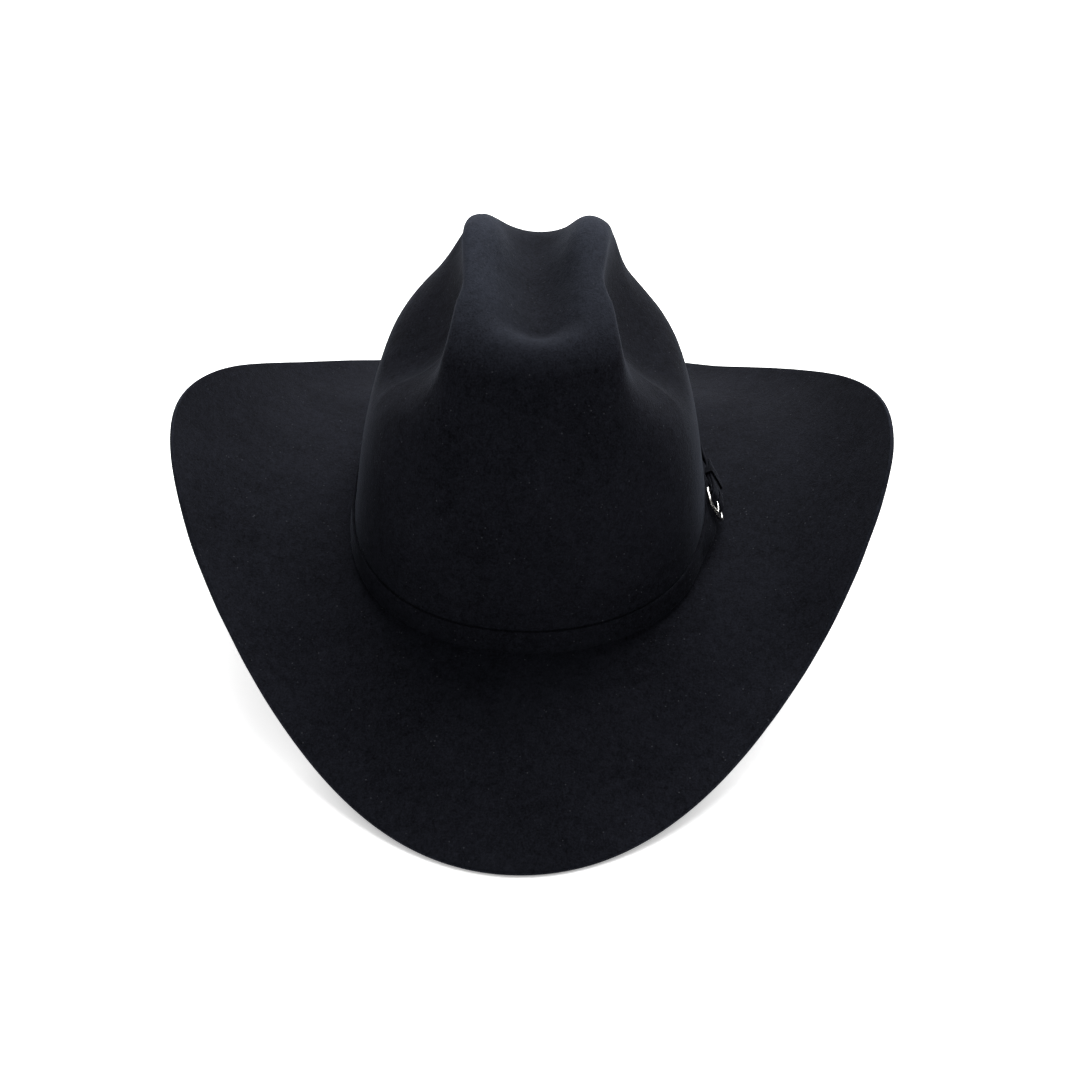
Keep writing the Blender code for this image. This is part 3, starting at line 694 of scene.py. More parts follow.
def woven_look(name, dark, light, size_mm, rough, sheen=0.2):
    """Cloth with a plain weave drawn in its own flat coordinates."""
    look = Look(name, Sheen_Weight=sheen, Sheen_Roughness=0.35, Specular_IOR_Level=0.4)
    flat = look.flat_map()
    split = look.node("SeparateXYZ", Vector=flat)
    turns = 2.0 * math.pi * 1000.0 / size_mm
    warp = look.math("SINE", look.math("MULTIPLY", split.outputs[0], turns))
    weft = look.math("SINE", look.math("MULTIPLY", split.outputs[1], turns))
    weave = look.math("MULTIPLY", warp, weft)
    slub = look.noise(5.0, 3.0, 0.6, source=look.stretch((1.0, 0.12, 1.0), flat))
    broad = look.noise(26.0, 3.0, 0.5)
    tone = look.math("ADD", look.span(weave, -1.0, 1.0, 0.0, 0.45),
                     look.total((slub, 0.35), (broad, 0.35)))
    colour = look.blend(look.span(tone, 0.2, 0.85), dark, light)
    height = look.math("ADD", look.math("MULTIPLY", weave, 0.5), slub)
    return look.finish(colour, look.span(slub, 0.3, 0.7, rough - 0.06, rough + 0.06),
                       look.bump(height, 0.05, 0.6))


def satin_look(name):
    look = Look(name, Sheen_Weight=0.25, Sheen_Roughness=0.3, Specular_IOR_Level=0.6,
                Anisotropic=0.55)
    flat = look.flat_map()
    thread = look.noise(0.45, 2.0, 0.5, source=look.stretch((1.0, 0.06, 1.0), flat))
    broad = look.noise(30.0, 3.0, 0.5)
    slub = look.noise(3.0, 3.0, 0.6, source=look.stretch((1.0, 0.08, 1.0), flat))
    tone = look.total((thread, 0.4), (broad, 0.35), (slub, 0.25))
    colour = look.blend(look.span(tone, 0.35, 0.65), (0.50, 0.45, 0.36),
                        (0.74, 0.70, 0.61))
    return look.finish(colour, look.span(thread, 0.3, 0.7, 0.26, 0.42),
                       look.bump(thread, 0.03, 0.6))


def plain_look(name, dark, light, size_mm, rough, height_mm=0.03, **constants):
    """Moulded or spun material with slight mottling and a fine surface grain."""
    look = Look(name, **constants)
    broad = look.noise(size_mm, 4.0, 0.6)
    fine = look.noise(0.3 + 0.04 * size_mm, 2.0, 0.5)
    colour = look.blend(look.span(broad, 0.32, 0.68), dark, light)
    return look.finish(colour, look.span(fine, 0.3, 0.7, rough - 0.05, rough + 0.05),
                       look.bump(fine, height_mm, 0.6))


# ------------------------------------------------------------------ felt


def felt_grid():
    """Fine outer surface of the felt as rings, its normals and where its zones end."""
    angle = circle(AROUND)
    caps = [0.012 + 0.988 * k / (CAP_ROWS - 1.0) for k in range(CAP_ROWS)]
    leaves = [0.985 * k / LEAF_ROWS for k in range(1, LEAF_ROWS + 1)] + [1.0]
    grid = felt_rings(angle, caps, fractions(WALL_ROWS), fractions(BEND_ROWS), leaves)
    zones = (CAP_ROWS, CAP_ROWS + WALL_ROWS, CAP_ROWS + WALL_ROWS + BEND_ROWS)
    return angle, grid, grid_normals(grid), zones


def soften(normal, rings, rounds):
    """Even out the normals of the first rings, so that inner layers do not fold."""
    n = normal.copy()
    for _ in range(rounds):
        mean = 2.0 * n + np.roll(n, 1, axis=1) + np.roll(n, -1, axis=1)
        mean[1:] += n[:-1]
        mean[:-1] += n[1:]
        mean = unit(mean)
        n[:rings] = mean[:rings]
    return n


def build_felt(angle, grid, normal, inward, zones):
    _, wall_end, bend_end = zones
    height = break_height(angle)[None, :] + LIFT
    rise = grid[:, :, 2] - height
    wobble = 0.16 * ripple(grid, 50.0, 3) + 0.03 * ripple(grid, 14.0, 4)
    crown = smooth(rise, 55.0, 85.0)
    crown[wall_end:] = 0.0
    outward = np.arange(len(grid)) - bend_end
    brim = smooth(outward.astype(float), 8.0, 26.0)[:, None] + 0.0 * rise
    lift = 0.40 * ripple(grid, 110.0, 5) + 0.05 * ripple(grid, 26.0, 6)
    tips = smooth(grid[:, :, 2], 3.0, 12.0)
    shift = crown * (wobble - 0.10) + brim * lift * tips
    outer = grid + normal * shift[:, :, None]
    under = grid - inward * (FELT - brim * lift * tips)[:, :, None]
    edge, edge_n = outer[-1], normal[-1]
    ahead = square_to(edge_n, outer[-1] - outer[-2])
    corner = []
    for centre_depth, turns in ((EDGE_ROUND, (0, 1, 2, 3, 4, 5)),
                                (FELT - EDGE_ROUND, (5, 6, 7, 8, 9, 10))):
        middle = edge - ahead * EDGE_ROUND - edge_n * centre_depth
        for k in turns:
            a = math.radians(18.0 * k)
            way = edge_n * math.cos(a) + ahead * math.sin(a)
            corner.append(middle + EDGE_ROUND * way)
    corner = np.array(corner)
    rows = np.concatenate([outer[:-1], corner, under[:-1][::-1]])
    rows[len(outer):, :, 2] = np.maximum(rows[len(outer):, :, 2], 0.0)
    count, around = rows.shape[:2]
    faces = lattice(count, around, wrap_cols=True)
    first = len(outer) - 1
    marks = [0] * len(faces)
    for j in range(first + 2, first + 9):
        for i in range(around):
            marks[j * around + i] = 1
    points = np.concatenate([rows.reshape(-1, 3), middles(outer, under)])
    close_ends(faces, count, around)
    marks += [0] * (2 * around)
    # the rounded cut edge of the brim gets a paler copy of the felt: a painted highlight where
    # light catches the edge
    piece("felt_hat", points, faces, felt_look("fur_felt"), "hat", ["felt_body"],
          faces_look=marks,
          second=felt_look("fur_felt_cut_edge_highlight", 1.7, 0.09))


# ------------------------------------------------------------------ linings


def seam(rows, share):
    """The place between the two rings where tip and side of the lining are sewn."""
    return rows[SEAM_ROW:SEAM_ROW + 1] * (1.0 - share) \
        + rows[SEAM_ROW + 1:SEAM_ROW + 2] * share


def build_lining_tip(grid, normal, satin):
    cap = np.concatenate([grid[:SEAM_ROW + 1], seam(grid, 0.4)])
    cap_n = np.concatenate([normal[:SEAM_ROW + 1], seam(normal, 0.4)])
    soft = relax(cap - cap_n * (LINING_TOP + 0.5 * LINING_THICK), 6, 0.4)
    soft_n = grid_normals(soft)
    row = np.arange(float(len(cap)))
    held = smooth(row, 2.0, 12.0) * (1.0 - smooth(row, 41.0, 47.0))
    dip = 0.28 * (1.0 + ripple(soft, 21.0, 11)) * held[:, None]
    outer = soft + soft_n * (0.5 * LINING_THICK - dip[:, :, None])
    inner = soft - soft_n * (0.5 * LINING_THICK + dip[:, :, None])
    points, faces = skin(outer, inner, dome=True)
    flat = np.concatenate([outer.reshape(-1, 3), inner.reshape(-1, 3), points[-2:]])
    return piece("lining_tip_satin", points, faces, satin, "hat", ["lining_tip"],
                 uv=flat[:, :2] * MM)


def build_lining_side(grid, normal, satin):
    turn = circle(AROUND)
    side, side_n = grid[SEAM_ROW + 1:SIDE_END], normal[SEAM_ROW + 1:SIDE_END]
    row = np.arange(float(len(side)))
    fade = smooth(row, 0.0, 5.0) * (1.0 - smooth(row, 5.0, 37.0))
    fine = np.sin(turn * 96.0 + 2.2 * np.sin(turn * 7.0) + 1.3 * np.sin(turn * 17.0))
    gather = 0.42 * (1.0 + fine)[None, :] * fade[:, None]
    sway = 0.35 * (1.0 + ripple(side, 33.0, 12)) * smooth(row, 9.0, 23.0)[:, None]
    depth = LINING_TOP + gather + sway
    outer = side - side_n * depth[:, :, None]
    inner = side - side_n * (depth + LINING_THICK)[:, :, None]
    points, faces = skin(outer, inner)
    girth = SIDE_CUT[1] * turn / (2.0 * math.pi)
    run = np.linalg.norm(np.diff(outer, axis=0, prepend=outer[:1]), axis=2).mean(axis=1)
    flat = np.stack(np.broadcast_arrays(girth, np.cumsum(run)[:, None] * MM), -1)
    return piece("lining_side_satin", points, faces, satin, "hat", ["lining_side"],
                 uv=np.concatenate([flat, flat[::-1]]).reshape(-1, 2))


def build_piping(grid, normal):
    """Twisted cord over the seam of the lining."""
    line_n = seam(normal, 0.7)[0]
    line = seam(grid, 0.7)[0] - line_n * (LINING_LOW + CLEAR + 0.8)
    sides = 14
    rings = cord_rings(line, 0.7, sides, True, line_n)
    lay = 300.0 * np.arange(AROUND)[:, None] / AROUND
    ply = 0.07 * np.cos(2.0 * math.pi * (lay + 3.0 * np.arange(sides)[None, :] / sides))
    middle = line[:, None]
    rings = middle + (rings - middle) * (1.0 + ply[:, :, None])
    points, faces = swept(rings, True)
    cord = plain_look("piping_cord", (0.40, 0.36, 0.28), (0.62, 0.57, 0.47), 4.0, 0.52,
                      Sheen_Weight=0.3)
    piece("lining_piping_cord", points, faces, cord, "hat", ["lining_piping"])


def build_shield(grid, normal):
    """Clear film over the middle of the lining tip."""
    patch, patch_n = grid[:SHIELD_ROWS], normal[:SHIELD_ROWS]
    soft = relax(patch - patch_n * (LINING_LOW + CLEAR + 0.45), 10, 0.5)
    shift = 0.13 * grid_normals(soft)
    points, faces = skin(soft + shift, soft - shift, dome=True)
    vinyl = Look("clear_vinyl", Transmission_Weight=1.0, IOR=1.46, Roughness=0.08)
    haze = vinyl.noise(9.0, 3.0, 0.6)
    clear = vinyl.finish(vinyl.blend(vinyl.span(haze, 0.3, 0.7), (0.90, 0.92, 0.92),
                                     (0.97, 0.98, 0.98)),
                         vinyl.span(haze, 0.3, 0.7, 0.04, 0.12),
                         vinyl.bump(haze, 0.2, 0.3))
    piece("lining_shield_vinyl", points, faces, clear, "hat", ["lining_shield"])


# ------------------------------------------------------------------ sweatband


def wall_points(angle, rise, inset):
    """Points a given distance inside the outer crown wall, rise above the break."""
    z = break_height(angle) + rise
    rho = wall_radius(angle, z) - inset
    return polar(rho, angle, z + LIFT)


def wall_rows(turn, rises, inset):
    """Rows of wall points; inset may vary by row and by column."""
    inset = np.broadcast_to(inset, (len(rises), len(turn)))
    return np.array([wall_points(turn, r, inset[k]) for k, r in enumerate(rises)])


def strip_uv(turn, rises):
    along = turn * 95.0 * MM
    one = np.stack(np.broadcast_arrays(along[None, :], np.asarray(rises)[:, None] * MM), -1)
    return np.concatenate([one, one[::-1]]).reshape(-1, 2)


def build_leather():
    turn = BACK + np.linspace(0.006, 2.0 * math.pi - 0.006, 361)
    shares = np.concatenate([[1.0, 0.996, 0.99, 0.98], np.linspace(0.965, 0.0, 34)])
    rises = SWEAT_FOOT + SWEAT_TALL * shares
    from_top = np.clip((SWEAT_FOOT + SWEAT_TALL - rises) / 0.9, 0.05, 1.0)[:, None]
    curl = 0.5 * SWEAT_THICK * np.sqrt(from_top * (2.0 - from_top))
    middle = FELT + SWEAT_OFF + 0.5 * SWEAT_THICK
    place_of = wall_rows(turn, rises, 0.0)
    soft = 0.45 * (1.0 + ripple(place_of, 60.0, 21)) * smooth(rises, 14.0, 50.0)[:, None]
    groove = 0.22 * np.exp(-((rises - SEAM_RISE) / 0.9) ** 2)[:, None]
    outer = wall_rows(turn, rises, middle + soft - curl)
    inner = wall_rows(turn, rises, middle + soft + curl - groove)
    points, faces = skin(outer, inner, wrap=False)
    leather = leather_look("sweatband_leather")
    piece("sweatband_leather", points, faces, leather, "hat", ["sweatband"],
          uv=strip_uv(turn, rises))


def build_thread():
    """Stitches round the foot of the sweatband, and slanted ones up its back seam."""
    lines = []
    stitches = 148
    for k in range(stitches):
        mid = BACK + 2.0 * math.pi * (k + 0.5) / stitches
        reach = math.pi / stitches * 0.76
        a = np.linspace(mid - reach, mid + reach, 7)
        rise = SEAM_RISE + 0.10 * np.linspace(-1.0, 1.0, 7)
        line = wall_points(a, rise, SWEAT_BACK - 0.28 + 0.52 * arch(7))
        lines.append((line, np.array([math.cos(mid), math.sin(mid), 0.0])))
    for k in range(15):
        rise = 9.0 + 3.0 * k
        if abs(rise - BOW_RISE) < 5.0:
            continue
        for side in (-1.0, 1.0):
            a = BACK - side * np.linspace(1.3, 2.5, 5) / 105.0
            sag = 0.45 * step(rise, 14.0, 50.0)
            line = wall_points(a, rise, SWEAT_BACK - 0.22 + sag + 0.45 * arch(5))
            lines.append((line, np.array([0.0, 1.0, 0.2])))
    points, faces = many_stitches(lines, 0.27)
    thread = plain_look("sweatband_thread", (0.42, 0.33, 0.20), (0.68, 0.58, 0.42), 1.5, 0.62,
                        Sheen_Weight=0.3)
    piece("sweatband_stitches", points, faces, thread, "hat", ["sweatband_thread"])


def build_tapes():
    turn = circle(288)
    rises = np.linspace(9.0, 1.2, 12)
    points, faces = skin(wall_rows(turn, rises, FELT + 0.35), wall_rows(turn, rises, FELT + 0.85))
    tape = woven_look("reed_tape_cloth", (0.045, 0.030, 0.018), (0.15, 0.105, 0.066), 0.9, 0.8)
    piece("reed_tape_woven", points, faces, tape, "hat", ["reed_tape"],
          uv=strip_uv(turn, rises))

    rear = BACK + np.linspace(-0.055, 0.055, 23)
    rises = np.linspace(36.0, 11.0, 40)
    pucker = 0.05 * np.sin(rises * 2.1)[:, None] + 0.0 * rear[None, :]
    points, faces = skin(wall_rows(rear, rises, FELT + 1.08 + pucker),
                         wall_rows(rear, rises, FELT + 1.38 + pucker), wrap=False)
    tape = woven_look("seam_tape_cloth", (0.07, 0.05, 0.03), (0.20, 0.15, 0.10), 0.8, 0.8)
    piece("sweatband_seam_tape_woven", points, faces, tape, "hat", ["sweatband_seam_tape"],
          uv=strip_uv(rear, rises))


def build_reed():
    turn = circle(360)
    line = wall_points(turn, -0.5, FELT + 0.8)
    away = polar(1.0, turn, 0.0 * turn)
    points, faces = swept(cord_rings(line, 0.85, 14, True, away), True)
    plastic = plain_look("reed_plastic", (0.56, 0.54, 0.48), (0.72, 0.70, 0.64), 8.0, 0.36,
                         Subsurface_Weight=0.1)
    piece("sweatband_reed_round", points, faces, plastic, "hat", ["sweatband_reed"])


def build_bow():
    """Ribbon bow: two flattened loops and a knot."""
    inset = SWEAT_BACK + CLEAR
    rear = HEAD_HALF_LENGTH - inset

    def spot(x, rise, depth):
        turn = BACK - np.asarray(x, float) / rear
        return wall_points(turn, BOW_RISE + np.asarray(rise, float),
                           inset + np.asarray(depth, float))

    parts = []
    for side in (-1.0, 1.0):
        keys = [(1.2, 0.75, 1.3), (4.0, 0.95, 2.4), (7.5, 1.18, 3.7), (10.0, 1.05, 4.15),
                (10.8, 0.70, 4.2), (10.0, 0.34, 4.15), (7.5, 0.26, 3.7), (4.0, 0.34, 2.4),
                (1.2, 0.45, 1.3)]
        path = spline(keys, 6)
        rings = []
        for (x, depth, half), (cx, cd) in zip(path, sideways(path[:, :2])):
            ring = []
            for s, w in ([(1.0, w) for w in np.linspace(-1.0, 1.0, 9)]
                         + [(-1.0, w) for w in np.linspace(1.0, -1.0, 9)]):
                fold = 0.10 * math.cos(3.0 * math.pi * w) * math.exp(-x / 5.0)
                ring.append(spot(side * (x + s * 0.10 * cx), w * half,
                                 depth + s * 0.10 * cd + fold))
            rings.append(ring)
        parts.append(swept(rings, False))
    knot = []
    for k in range(25):
        share = -1.0 + 2.0 * k / 24
        plump = math.sqrt(max(1.0 - abs(share) ** 3.2, 0.02))
        a = circle(28)
        ridge = plump * (1.0 + 0.05 * np.cos(10.0 * a))
        knot.append(spot(1.75 * ridge * np.cos(a), 1.95 * share,
                         0.84 + 0.74 * ridge * np.sin(a)))
    parts.append(swept(knot, False))
    points, faces = joined(parts)
    ribbon = woven_look("bow_ribbon", (0.006, 0.006, 0.007), (0.032, 0.032, 0.036), 0.55,
                        0.42, 0.35)
    piece("sweatband_bow_ribbon", points, faces, ribbon, "hat", ["sweatband_bow"],
          uv=points[:, ::2] * MM)


# ------------------------------------------------------------------ hat band


def base_top(t):
    """Outer face of the lower strap layer behind the heel bar."""
    return 3.6 - 1.3 * step(t, 1.0, 14.0) - 0.85 * step(t, 22.0, 34.0)


def strap_path():
    """Middle line of the strap as (along, out, half thickness, zone)."""
    path = []
    for t in (9.0, 6.0, 3.0, 1.2):
        path.append((t, BAR_OUT - LOOP_RADIUS, FOLD_HALF, "fold"))
    for k in range(1, 10):
        a = math.radians(-90.0 - 18.0 * k)
        path.append((LOOP_RADIUS * math.cos(a), BAR_OUT + LOOP_RADIUS * math.sin(a),
                     FOLD_HALF, "loop"))
    for t in (0.2, 1.6, 3.2, 5.0, 7.0, 9.0, 11.0, 13.5):
        half = FOLD_HALF + (STRAP_HALF - FOLD_HALF) * step(t, 2.0, 12.0)
        path.append((t, base_top(t) - half, half, "fold"))
    for t in (17.0, 20.0, 23.0, 26.0, 29.0, 33.0, 38.0, 43.0, PLAIN_FROM):
        path.append((t, base_top(t) - STRAP_HALF, STRAP_HALF, "base"))
    runs = 46
    for k in range(1, runs):
        t = PLAIN_FROM + (ROUND - PLAIN_FROM - PLAIN_UNTIL) * k / runs
        path.append((t, BAND_OUT, STRAP_HALF, "base"))
    for zone, spots in (("rise", (-17.0, -14.0, -12.0, -10.2, -8.6)),
                        ("slot", (-7.2, -5.4, -3.6, -1.8, 0.0, 1.3, 2.6))):
        for t in spots:
            climb = SLOT_CLIMB * step(t, -12.5, -1.5)
            path.append((ROUND + t, BAND_OUT + climb, TAIL_HALF, zone))
    for t in (4.0, 6.0, 8.0, 10.0, 12.5, 15.0, 18.0, 21.0, 24.0, 26.0, 28.0, 29.2, TAIL_END):
        path.append((ROUND + t, base_top(t) + CLEAR + TAIL_HALF, TAIL_HALF, "tail"))
    return path


def strap_width(path):
    """Share of the full width; the free end is cut to a rounded point."""
    shares = []
    for t, _, _, zone in path:
        x = (t - ROUND - TAIL_END + 5.0) / 5.0 if zone == "tail" else 0.0
        shares.append(1.0 - 0.85 * max(x, 0.0) ** 2)
    return np.array(shares)


def rope(along, across, pitch=1.25):
    """Twisted rope pattern, from 0 to 1."""
    return 0.5 + 0.5 * np.cos(2.0 * math.pi * (along + 0.75 * across) / pitch)


def build_strap():
    raw = strap_path()
    steps = 5
    width = strap_width(raw)
    rows = spline([p[:3] + (w,) for p, w in zip(raw, width)], steps)
    owner = np.minimum(np.arange(len(rows)) // steps, len(raw) - 2)
    half = np.concatenate([[0.75], np.linspace(1.5, 4.5, 6), [4.85, 5.05, 5.19, 5.25]])
    columns = np.concatenate([-half[::-1], [0.0], half])
    hole = (9, 13)
    line = rows[:, :2]
    across = sideways(line)
    inset = np.clip((0.5 * BAND_TALL - np.abs(columns)) / 0.55, 0.0, 1.0)
    round_off = np.sqrt(np.clip(1.0 - (1.0 - inset) ** 2, 0.03, 1.0))
    zones = [p[3] for p in raw]
    spots = [p[0] for p in raw]
    skins = []
    for sign in (1.0, -1.0):
        half = rows[:, 2:3] * round_off[None, :]
        t = line[:, :1] + sign * across[:, :1] * half
        n = line[:, 1:] + sign * across[:, 1:] * half
        u = columns[None, :] * np.clip(rows[:, 3:4], 0.12, 1.0)
        felted = 0.035 * ripple(np.stack([t, n, u], -1), 5.0, 31)
        skins.append(place(t, n + felted * (sign > 0), u))
    count, wide = skins[0].shape[:2]
    keep = np.ones((count - 1, wide - 1), bool)
    for i in range(count - 1):
        k = owner[i]
        loop = "loop" in (zones[k], zones[k + 1])
        early = zones[k] == "fold" and max(spots[k], spots[k + 1]) < 3.5
        slot = zones[k] == "slot" or zones[k + 1] == "slot"
        if loop or early or slot:
            keep[i, hole[0]:hole[1] - 1] = False
    points = np.concatenate([s.reshape(-1, 3) for s in skins])
    low = count * wide
    faces = []
    padded = np.pad(keep, 1)
    for i in range(count - 1):
        for j in range(wide - 1):
            if not keep[i, j]:
                continue
            a, b = i * wide + j, i * wide + j + 1
            c, d = (i + 1) * wide + j + 1, (i + 1) * wide + j
            faces.append([a, b, c, d])
            faces.append([low + d, low + c, low + b, low + a])
            for near, p, q in ((padded[i, j + 1], a, b), (padded[i + 2, j + 1], c, d),
                               (padded[i + 1, j + 2], b, c), (padded[i + 1, j], d, a)):
                if not near:
                    faces.append([p, low + p, low + q, q])
    used = sorted({v for face in faces for v in face})
    index = {v: k for k, v in enumerate(used)}
    faces = [[index[v] for v in face] for face in faces]
    piece("band_strap_felt", points[used], faces, felt_look("band_felt", 0.92, 0.04), "hat",
          ["band_strap"])

    lines = []
    for t in (7.4, 9.6):
        for u in (-3.4, -0.2, 3.0):
            line = place(np.full(6, t), base_top(t) - 0.12 + 0.20 * arch(6),
                         u + np.linspace(0.0, 0.9, 6))
            lines.append((line, np.array([1.0, 0.0, 0.0])))
    points, faces = many_stitches(lines, 0.11)
    dark = plain_look("band_thread", (0.004, 0.004, 0.005), (0.020, 0.021, 0.024), 1.2, 0.6,
                      Sheen_Weight=0.2)
    piece("band_fold_stitches", points, faces, dark, "hat")


def build_frame():
    corner = 2.6
    rail = ((-1.1, 6.6), (-3.2, FRAME_HALF), (-5.4, FRAME_HALF + 0.1), (-7.8, FRAME_HALF))
    upper = [(t, u, 0.9, 0.8, 1.0) for t, u in rail]
    for k in (1, 2, 3):
        a = math.radians(22.5 * k)
        upper.append((-FRAME_LONG + corner - corner * math.sin(a),
                      FRAME_HALF - corner + corner * math.cos(a), 1.0, 0.8, 1.0))
    upper.append((-FRAME_LONG, 3.0, 1.0, 0.8, 1.0))
    keys = [(0.0, u, BAR_RADIUS, BAR_RADIUS, 0.0) for u in (-5.9, -3.0, 0.0, 3.0, 5.9)]
    keys += upper + [(-FRAME_LONG, 0.0, 1.0, 0.8, 1.0)]
    keys += [(key[0], -key[1], *key[2:]) for key in upper[::-1]]
    path = spline(keys, 16, closed=True)
    path[:, 4] = np.clip(path[:, 4], 0.0, 1.0)
    line = path[:, :2]
    ahead = np.roll(line, -1, axis=0) - np.roll(line, 1, axis=0)
    step_long = np.linalg.norm(ahead, axis=1, keepdims=True)
    ahead /= step_long
    run = np.cumsum(0.5 * step_long[:, 0])
    pitch = run[-1] / round(run[-1] / 1.35)
    a = circle(28)
    face = np.clip(np.sin(a), 0.0, 1.0)[None, :]
    twist = rope(run[:, None], np.cos(a)[None, :] * 1.2, pitch)
    rim = np.exp(-((np.abs(np.cos(a)) - 0.80) / 0.22) ** 2)[None, :]
    inner = np.exp(-(np.cos(a) / 0.42) ** 2)[None, :]
    beads = 0.5 + 0.5 * np.cos(2.0 * math.pi * run[:, None] / (0.5 * pitch))
    raised = np.clip(rim * twist + inner * 0.85 * beads, 0.0, 1.0) * face * path[:, 4:5]
    size = 1.0 + 0.13 * (raised - 0.6) * path[:, 4:5] * face
    level = BAR_OUT + FRAME_RISE * smooth(-path[:, 0], 1.0, 10.0)
    shift = path[:, 2:3] * np.cos(a)[None, :] * size
    t = path[:, 0:1] - ahead[:, 1:2] * shift
    u = path[:, 1:2] + ahead[:, 0:1] * shift
    n = level[:, None] + path[:, 3:4] * np.sin(a)[None, :] * size
    points, faces = swept(place(t, n, u), True)
    silver = metal_look("antique_silver", (0.80, 0.79, 0.76), (0.16, 0.15, 0.14))
    relief = 0.25 + 0.75 * np.where(path[:, 4:5] > 0.5, raised, 0.7)
    piece("buckle_frame_engraved", points, faces, silver, "frame", ["buckle_frame"],
          relief=relief.ravel())


def build_tongue():
    keys = []
    for k in range(14):
        a = math.radians(-195.0 + 285.0 * k / 13)
        keys.append((1.2 * math.cos(a), BAR_OUT + 1.2 * math.sin(a), 0.35, 0.95))
    keys += [(-2.2, 3.2, 0.35, 0.95), (-4.0, 3.7, 0.35, 0.9), (-6.0, 4.15, 0.35, 0.8),
             (-8.0, 4.45, 0.35, 0.75), (-10.0, 4.6, 0.35, 0.7), (-12.0, 4.6, 0.32, 0.6),
             (-13.0, 4.45, 0.22, 0.4)]
    path = spline(keys, 6)
    share = np.linspace(0.0, 1.0, len(path))
    path[:, 2:] *= np.sqrt(np.clip(1.0 - ((share - 0.97) / 0.03).clip(0.0, 1.0) ** 2,
                                   0.08, 1.0))[:, None]
    cross = sideways(path[:, :2])
    a = circle(24)
    flat = 3.2
    cu = np.sign(np.cos(a)) * np.abs(np.cos(a)) ** (2.0 / flat)
    cn = np.sign(np.sin(a)) * np.abs(np.sin(a)) ** (2.0 / flat)
    groove = 1.0 - 0.16 * np.exp(-(cu / 0.25) ** 2) * (cn > 0.5)
    deep = path[:, 2:3] * (cn * groove)[None, :]
    t = path[:, 0:1] + cross[:, 0:1] * deep
    n = path[:, 1:2] + cross[:, 1:2] * deep
    u = path[:, 3:4] * cu[None, :]
    points, faces = swept(place(t, n, u), False)
    relief = np.broadcast_to(np.where(groove < 0.97, 0.25, 0.8), t.shape).ravel()
    relief = np.concatenate([relief, [0.8, 0.8]])
    silver = metal_look("tongue_silver", (0.82, 0.81, 0.78), (0.20, 0.19, 0.18), 0.22)
    piece("buckle_tongue_formed", points, faces, silver, "tongue", ["buckle_tongue"],
          relief=relief)


def rounded_loop(n0, n1, u0, u1, radius, count):
    """Evenly spaced points on a rounded rectangle, from the middle of its n0 side."""
    corners = ((n0, u1, 180.0), (n1, u1, 90.0), (n1, u0, 0.0), (n0, u0, -90.0))
    line = [(n0, 0.5 * (u0 + u1))]
    for n, u, turn in corners:
        cn = n + radius * (1.0 if n == n0 else -1.0)
        cu = u + radius * (1.0 if u == u0 else -1.0)
        for k in range(9):
            a = math.radians(turn - 90.0 * k / 8)
            line.append((cn + radius * math.cos(a), cu + radius * math.sin(a)))
    line = np.array(line + [line[0]])
    run = np.concatenate([[0.0], np.cumsum(np.linalg.norm(np.diff(line, axis=0), axis=1))])
    at = np.arange(count) * run[-1] / count
    return np.stack([np.interp(at, run, line[:, 0]), np.interp(at, run, line[:, 1])], 1)


def build_keeper():
    count = 200
    inner = rounded_loop(0.90, 3.95, -5.55, 5.55, 0.5, count)
    outer = rounded_loop(0.45, 4.55, -6.15, 6.15, 1.0, count)
    half = 0.5 * KEEPER_WIDE
    section = [(-half + 0.15, 0.0), (0.0, 0.0), (half - 0.15, 0.0), (half, 0.25), (half, 0.72)]
    section += [(t, 1.0) for t in np.linspace(half - 0.18, -half + 0.18, 21)]
    section += [(-half, 0.72), (-half, 0.25)]
    rings = []
    for t, share in section:
        spot = inner + (outer - inner) * share
        line = np.full(count, KEEPER_AT + t)
        fuzz = 0.035 * ripple(np.stack([line, spot[:, 0], spot[:, 1]], -1), 2.4, 33)
        push = fuzz * (share > 0.9)
        spot = spot + unit(spot - spot.mean(axis=0)) * push[:, None]
        rings.append(place(line, spot[:, 0], spot[:, 1]))
    rings = np.array(rings)
    faces = lattice(len(section), count, wrap_rows=True, wrap_cols=True)
    piece("band_keeper_felt", rings.reshape(-1, 3), faces, felt_look("keeper_felt", 0.92, 0.04),
          "keeper", ["band_keeper"])


# ------------------------------------------------------------------ surroundings


def build_stage():
    mesh = bpy.data.meshes.new("floor")
    r = 9.0
    mesh.from_pydata([(-r, -r, 0), (r, -r, 0), (r, r, 0), (-r, r, 0)], [], [[0, 1, 2, 3]])
    floor = bpy.data.objects.new("floor", mesh)
    bpy.context.scene.collection.objects.link(floor)
    look = Look("floor_white", Roughness=0.9, Specular_IOR_Level=0.0,
                Emission_Color=(1.0, 1.0, 1.0, 1.0))
    # painted light: the floor glows though it is no lamp, and glows less in front of the hat,
    # which paints a soft shadow round the front of the brim
    place_on = look.node("SeparateXYZ", Vector=look.where).outputs["Y"]
    glow = look.span(place_on, SHADOW_PAINT_SPAN[0], SHADOW_PAINT_SPAN[1], GLOW[0], GLOW[1])
    look.feed(look.shader.inputs["Emission Strength"], glow)
    mesh.materials.append(look.finish(look.blend(look.noise(400.0), (0.93, 0.93, 0.93),
                                                 (0.95, 0.95, 0.95))))


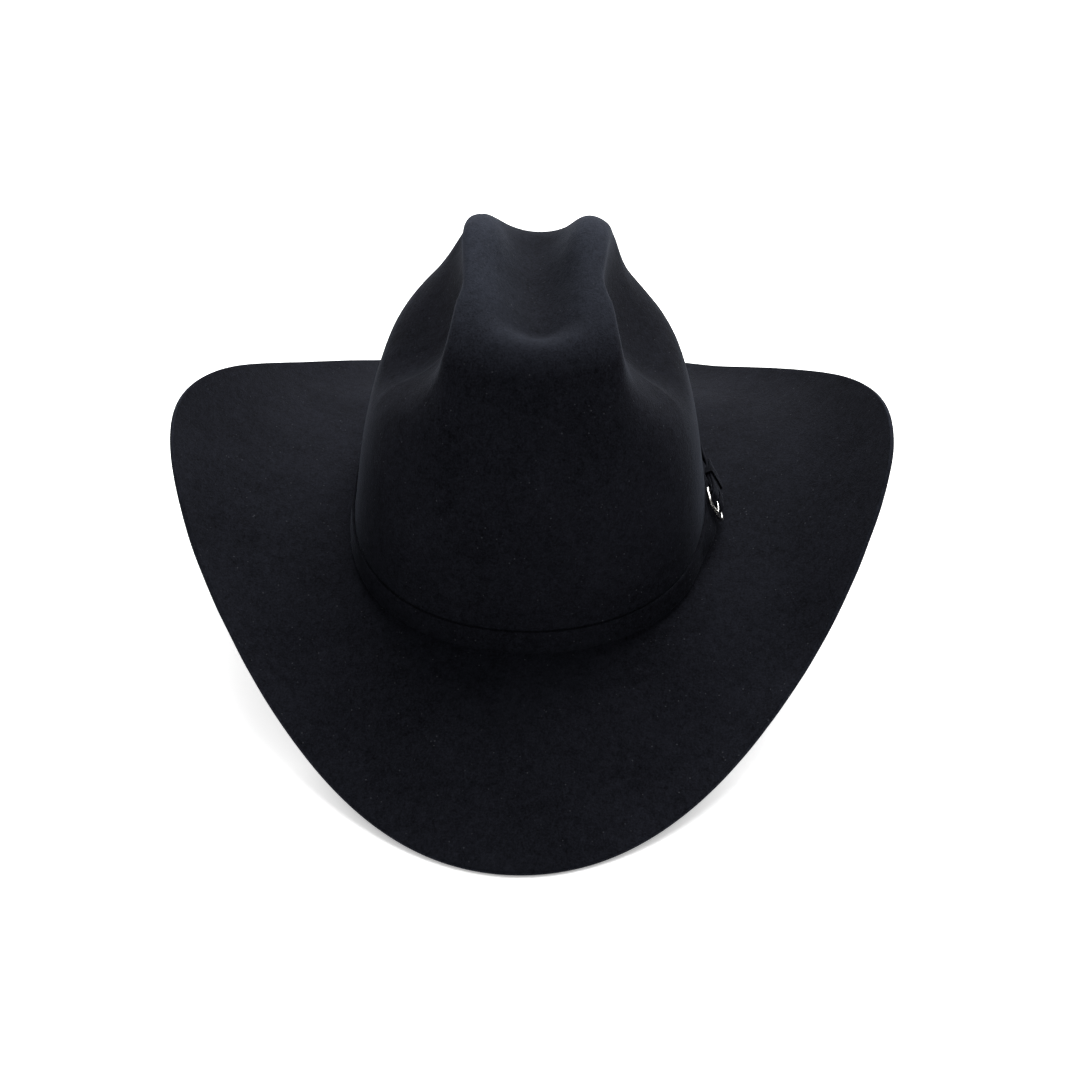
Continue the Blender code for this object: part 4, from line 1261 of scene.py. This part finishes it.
def build_sky():
    """Soft light from all sides, strongest from straight above."""
    world = bpy.data.worlds.new("studio")
    bpy.context.scene.world = world
    world.use_nodes = True
    nodes, links = world.node_tree.nodes, world.node_tree.links
    height = nodes.new("ShaderNodeSeparateXYZ")
    links.new(nodes.new("ShaderNodeTexCoord").outputs["Generated"], height.inputs["Vector"])
    span = nodes.new("ShaderNodeMapRange")
    links.new(height.outputs["Z"], span.inputs["Value"])
    span.inputs["To Min"].default_value = SKY[0]
    span.inputs["To Max"].default_value = SKY[1]
    sky = nodes["Background"]
    sky.inputs["Color"].default_value = (1.0, 1.0, 1.0, 1.0)
    links.new(span.outputs["Result"], sky.inputs["Strength"])


def light(name, kind, spot, aim, energy, size, colour=(1.0, 1.0, 1.0)):
    data = bpy.data.lights.new(name, kind)
    data.energy = energy
    data.color = colour
    if kind == "AREA":
        data.shape = "DISK"
        data.size = size
    else:
        data.angle = size
    made = bpy.data.objects.new(name, data)
    bpy.context.scene.collection.objects.link(made)
    made.location = spot
    way = Vector(aim) - Vector(spot)
    made.rotation_euler = way.to_track_quat("-Z", "Y").to_euler()
    return made


def build_lights():
    light("overhead_soft", "SUN", (0.25, 1.6, 1.5), (0.0, 0.0, 0.0), SUN,
          math.radians(55.0))
    light("rear_soft", "AREA", (0.5, 1.5, 0.8), (0.0, 0.1, 0.12), REAR, 1.0,
          (0.93, 0.96, 1.0))


def build_camera():
    def turned(x, y, z):
        c, s = math.cos(CAMERA_TURN), math.sin(CAMERA_TURN)
        return Vector((x * c - y * s, x * s + y * c, z))

    back = turned(0.0, -math.cos(CAMERA_DOWN), math.sin(CAMERA_DOWN))
    target = turned(*CAMERA_TARGET)
    side = Vector((0.0, 0.0, 1.0)).cross(back).normalized()
    up = back.cross(side)
    data = bpy.data.cameras.new("camera")
    data.sensor_width = 36.0
    data.lens = CAMERA_LENS
    data.clip_start = 0.01
    camera = bpy.data.objects.new("camera", data)
    bpy.context.scene.collection.objects.link(camera)
    stand = Matrix((side, up, back)).transposed().to_4x4()
    stand.translation = target + back * CAMERA_AWAY
    camera.matrix_world = stand
    bpy.context.scene.camera = camera


# ------------------------------------------------------------------ the whole hat

angle, grid, normal, zones = felt_grid()
inward = soften(normal, CAP_ROWS, SOFT_ROUNDS)
build_felt(angle, grid, normal, inward, zones)
satin = satin_look("ivory_satin")
lining_tip = build_lining_tip(grid, inward, satin)
lining_wall = build_lining_side(grid, inward, satin)
build_piping(grid, inward)
build_shield(grid, inward)
build_leather()
build_thread()
build_tapes()
build_reed()
build_bow()
build_strap()
build_frame()
build_tongue()
build_keeper()
build_stage()
build_sky()
build_lights()
build_camera()
bpy.context.scene.view_settings.view_transform = "Standard"
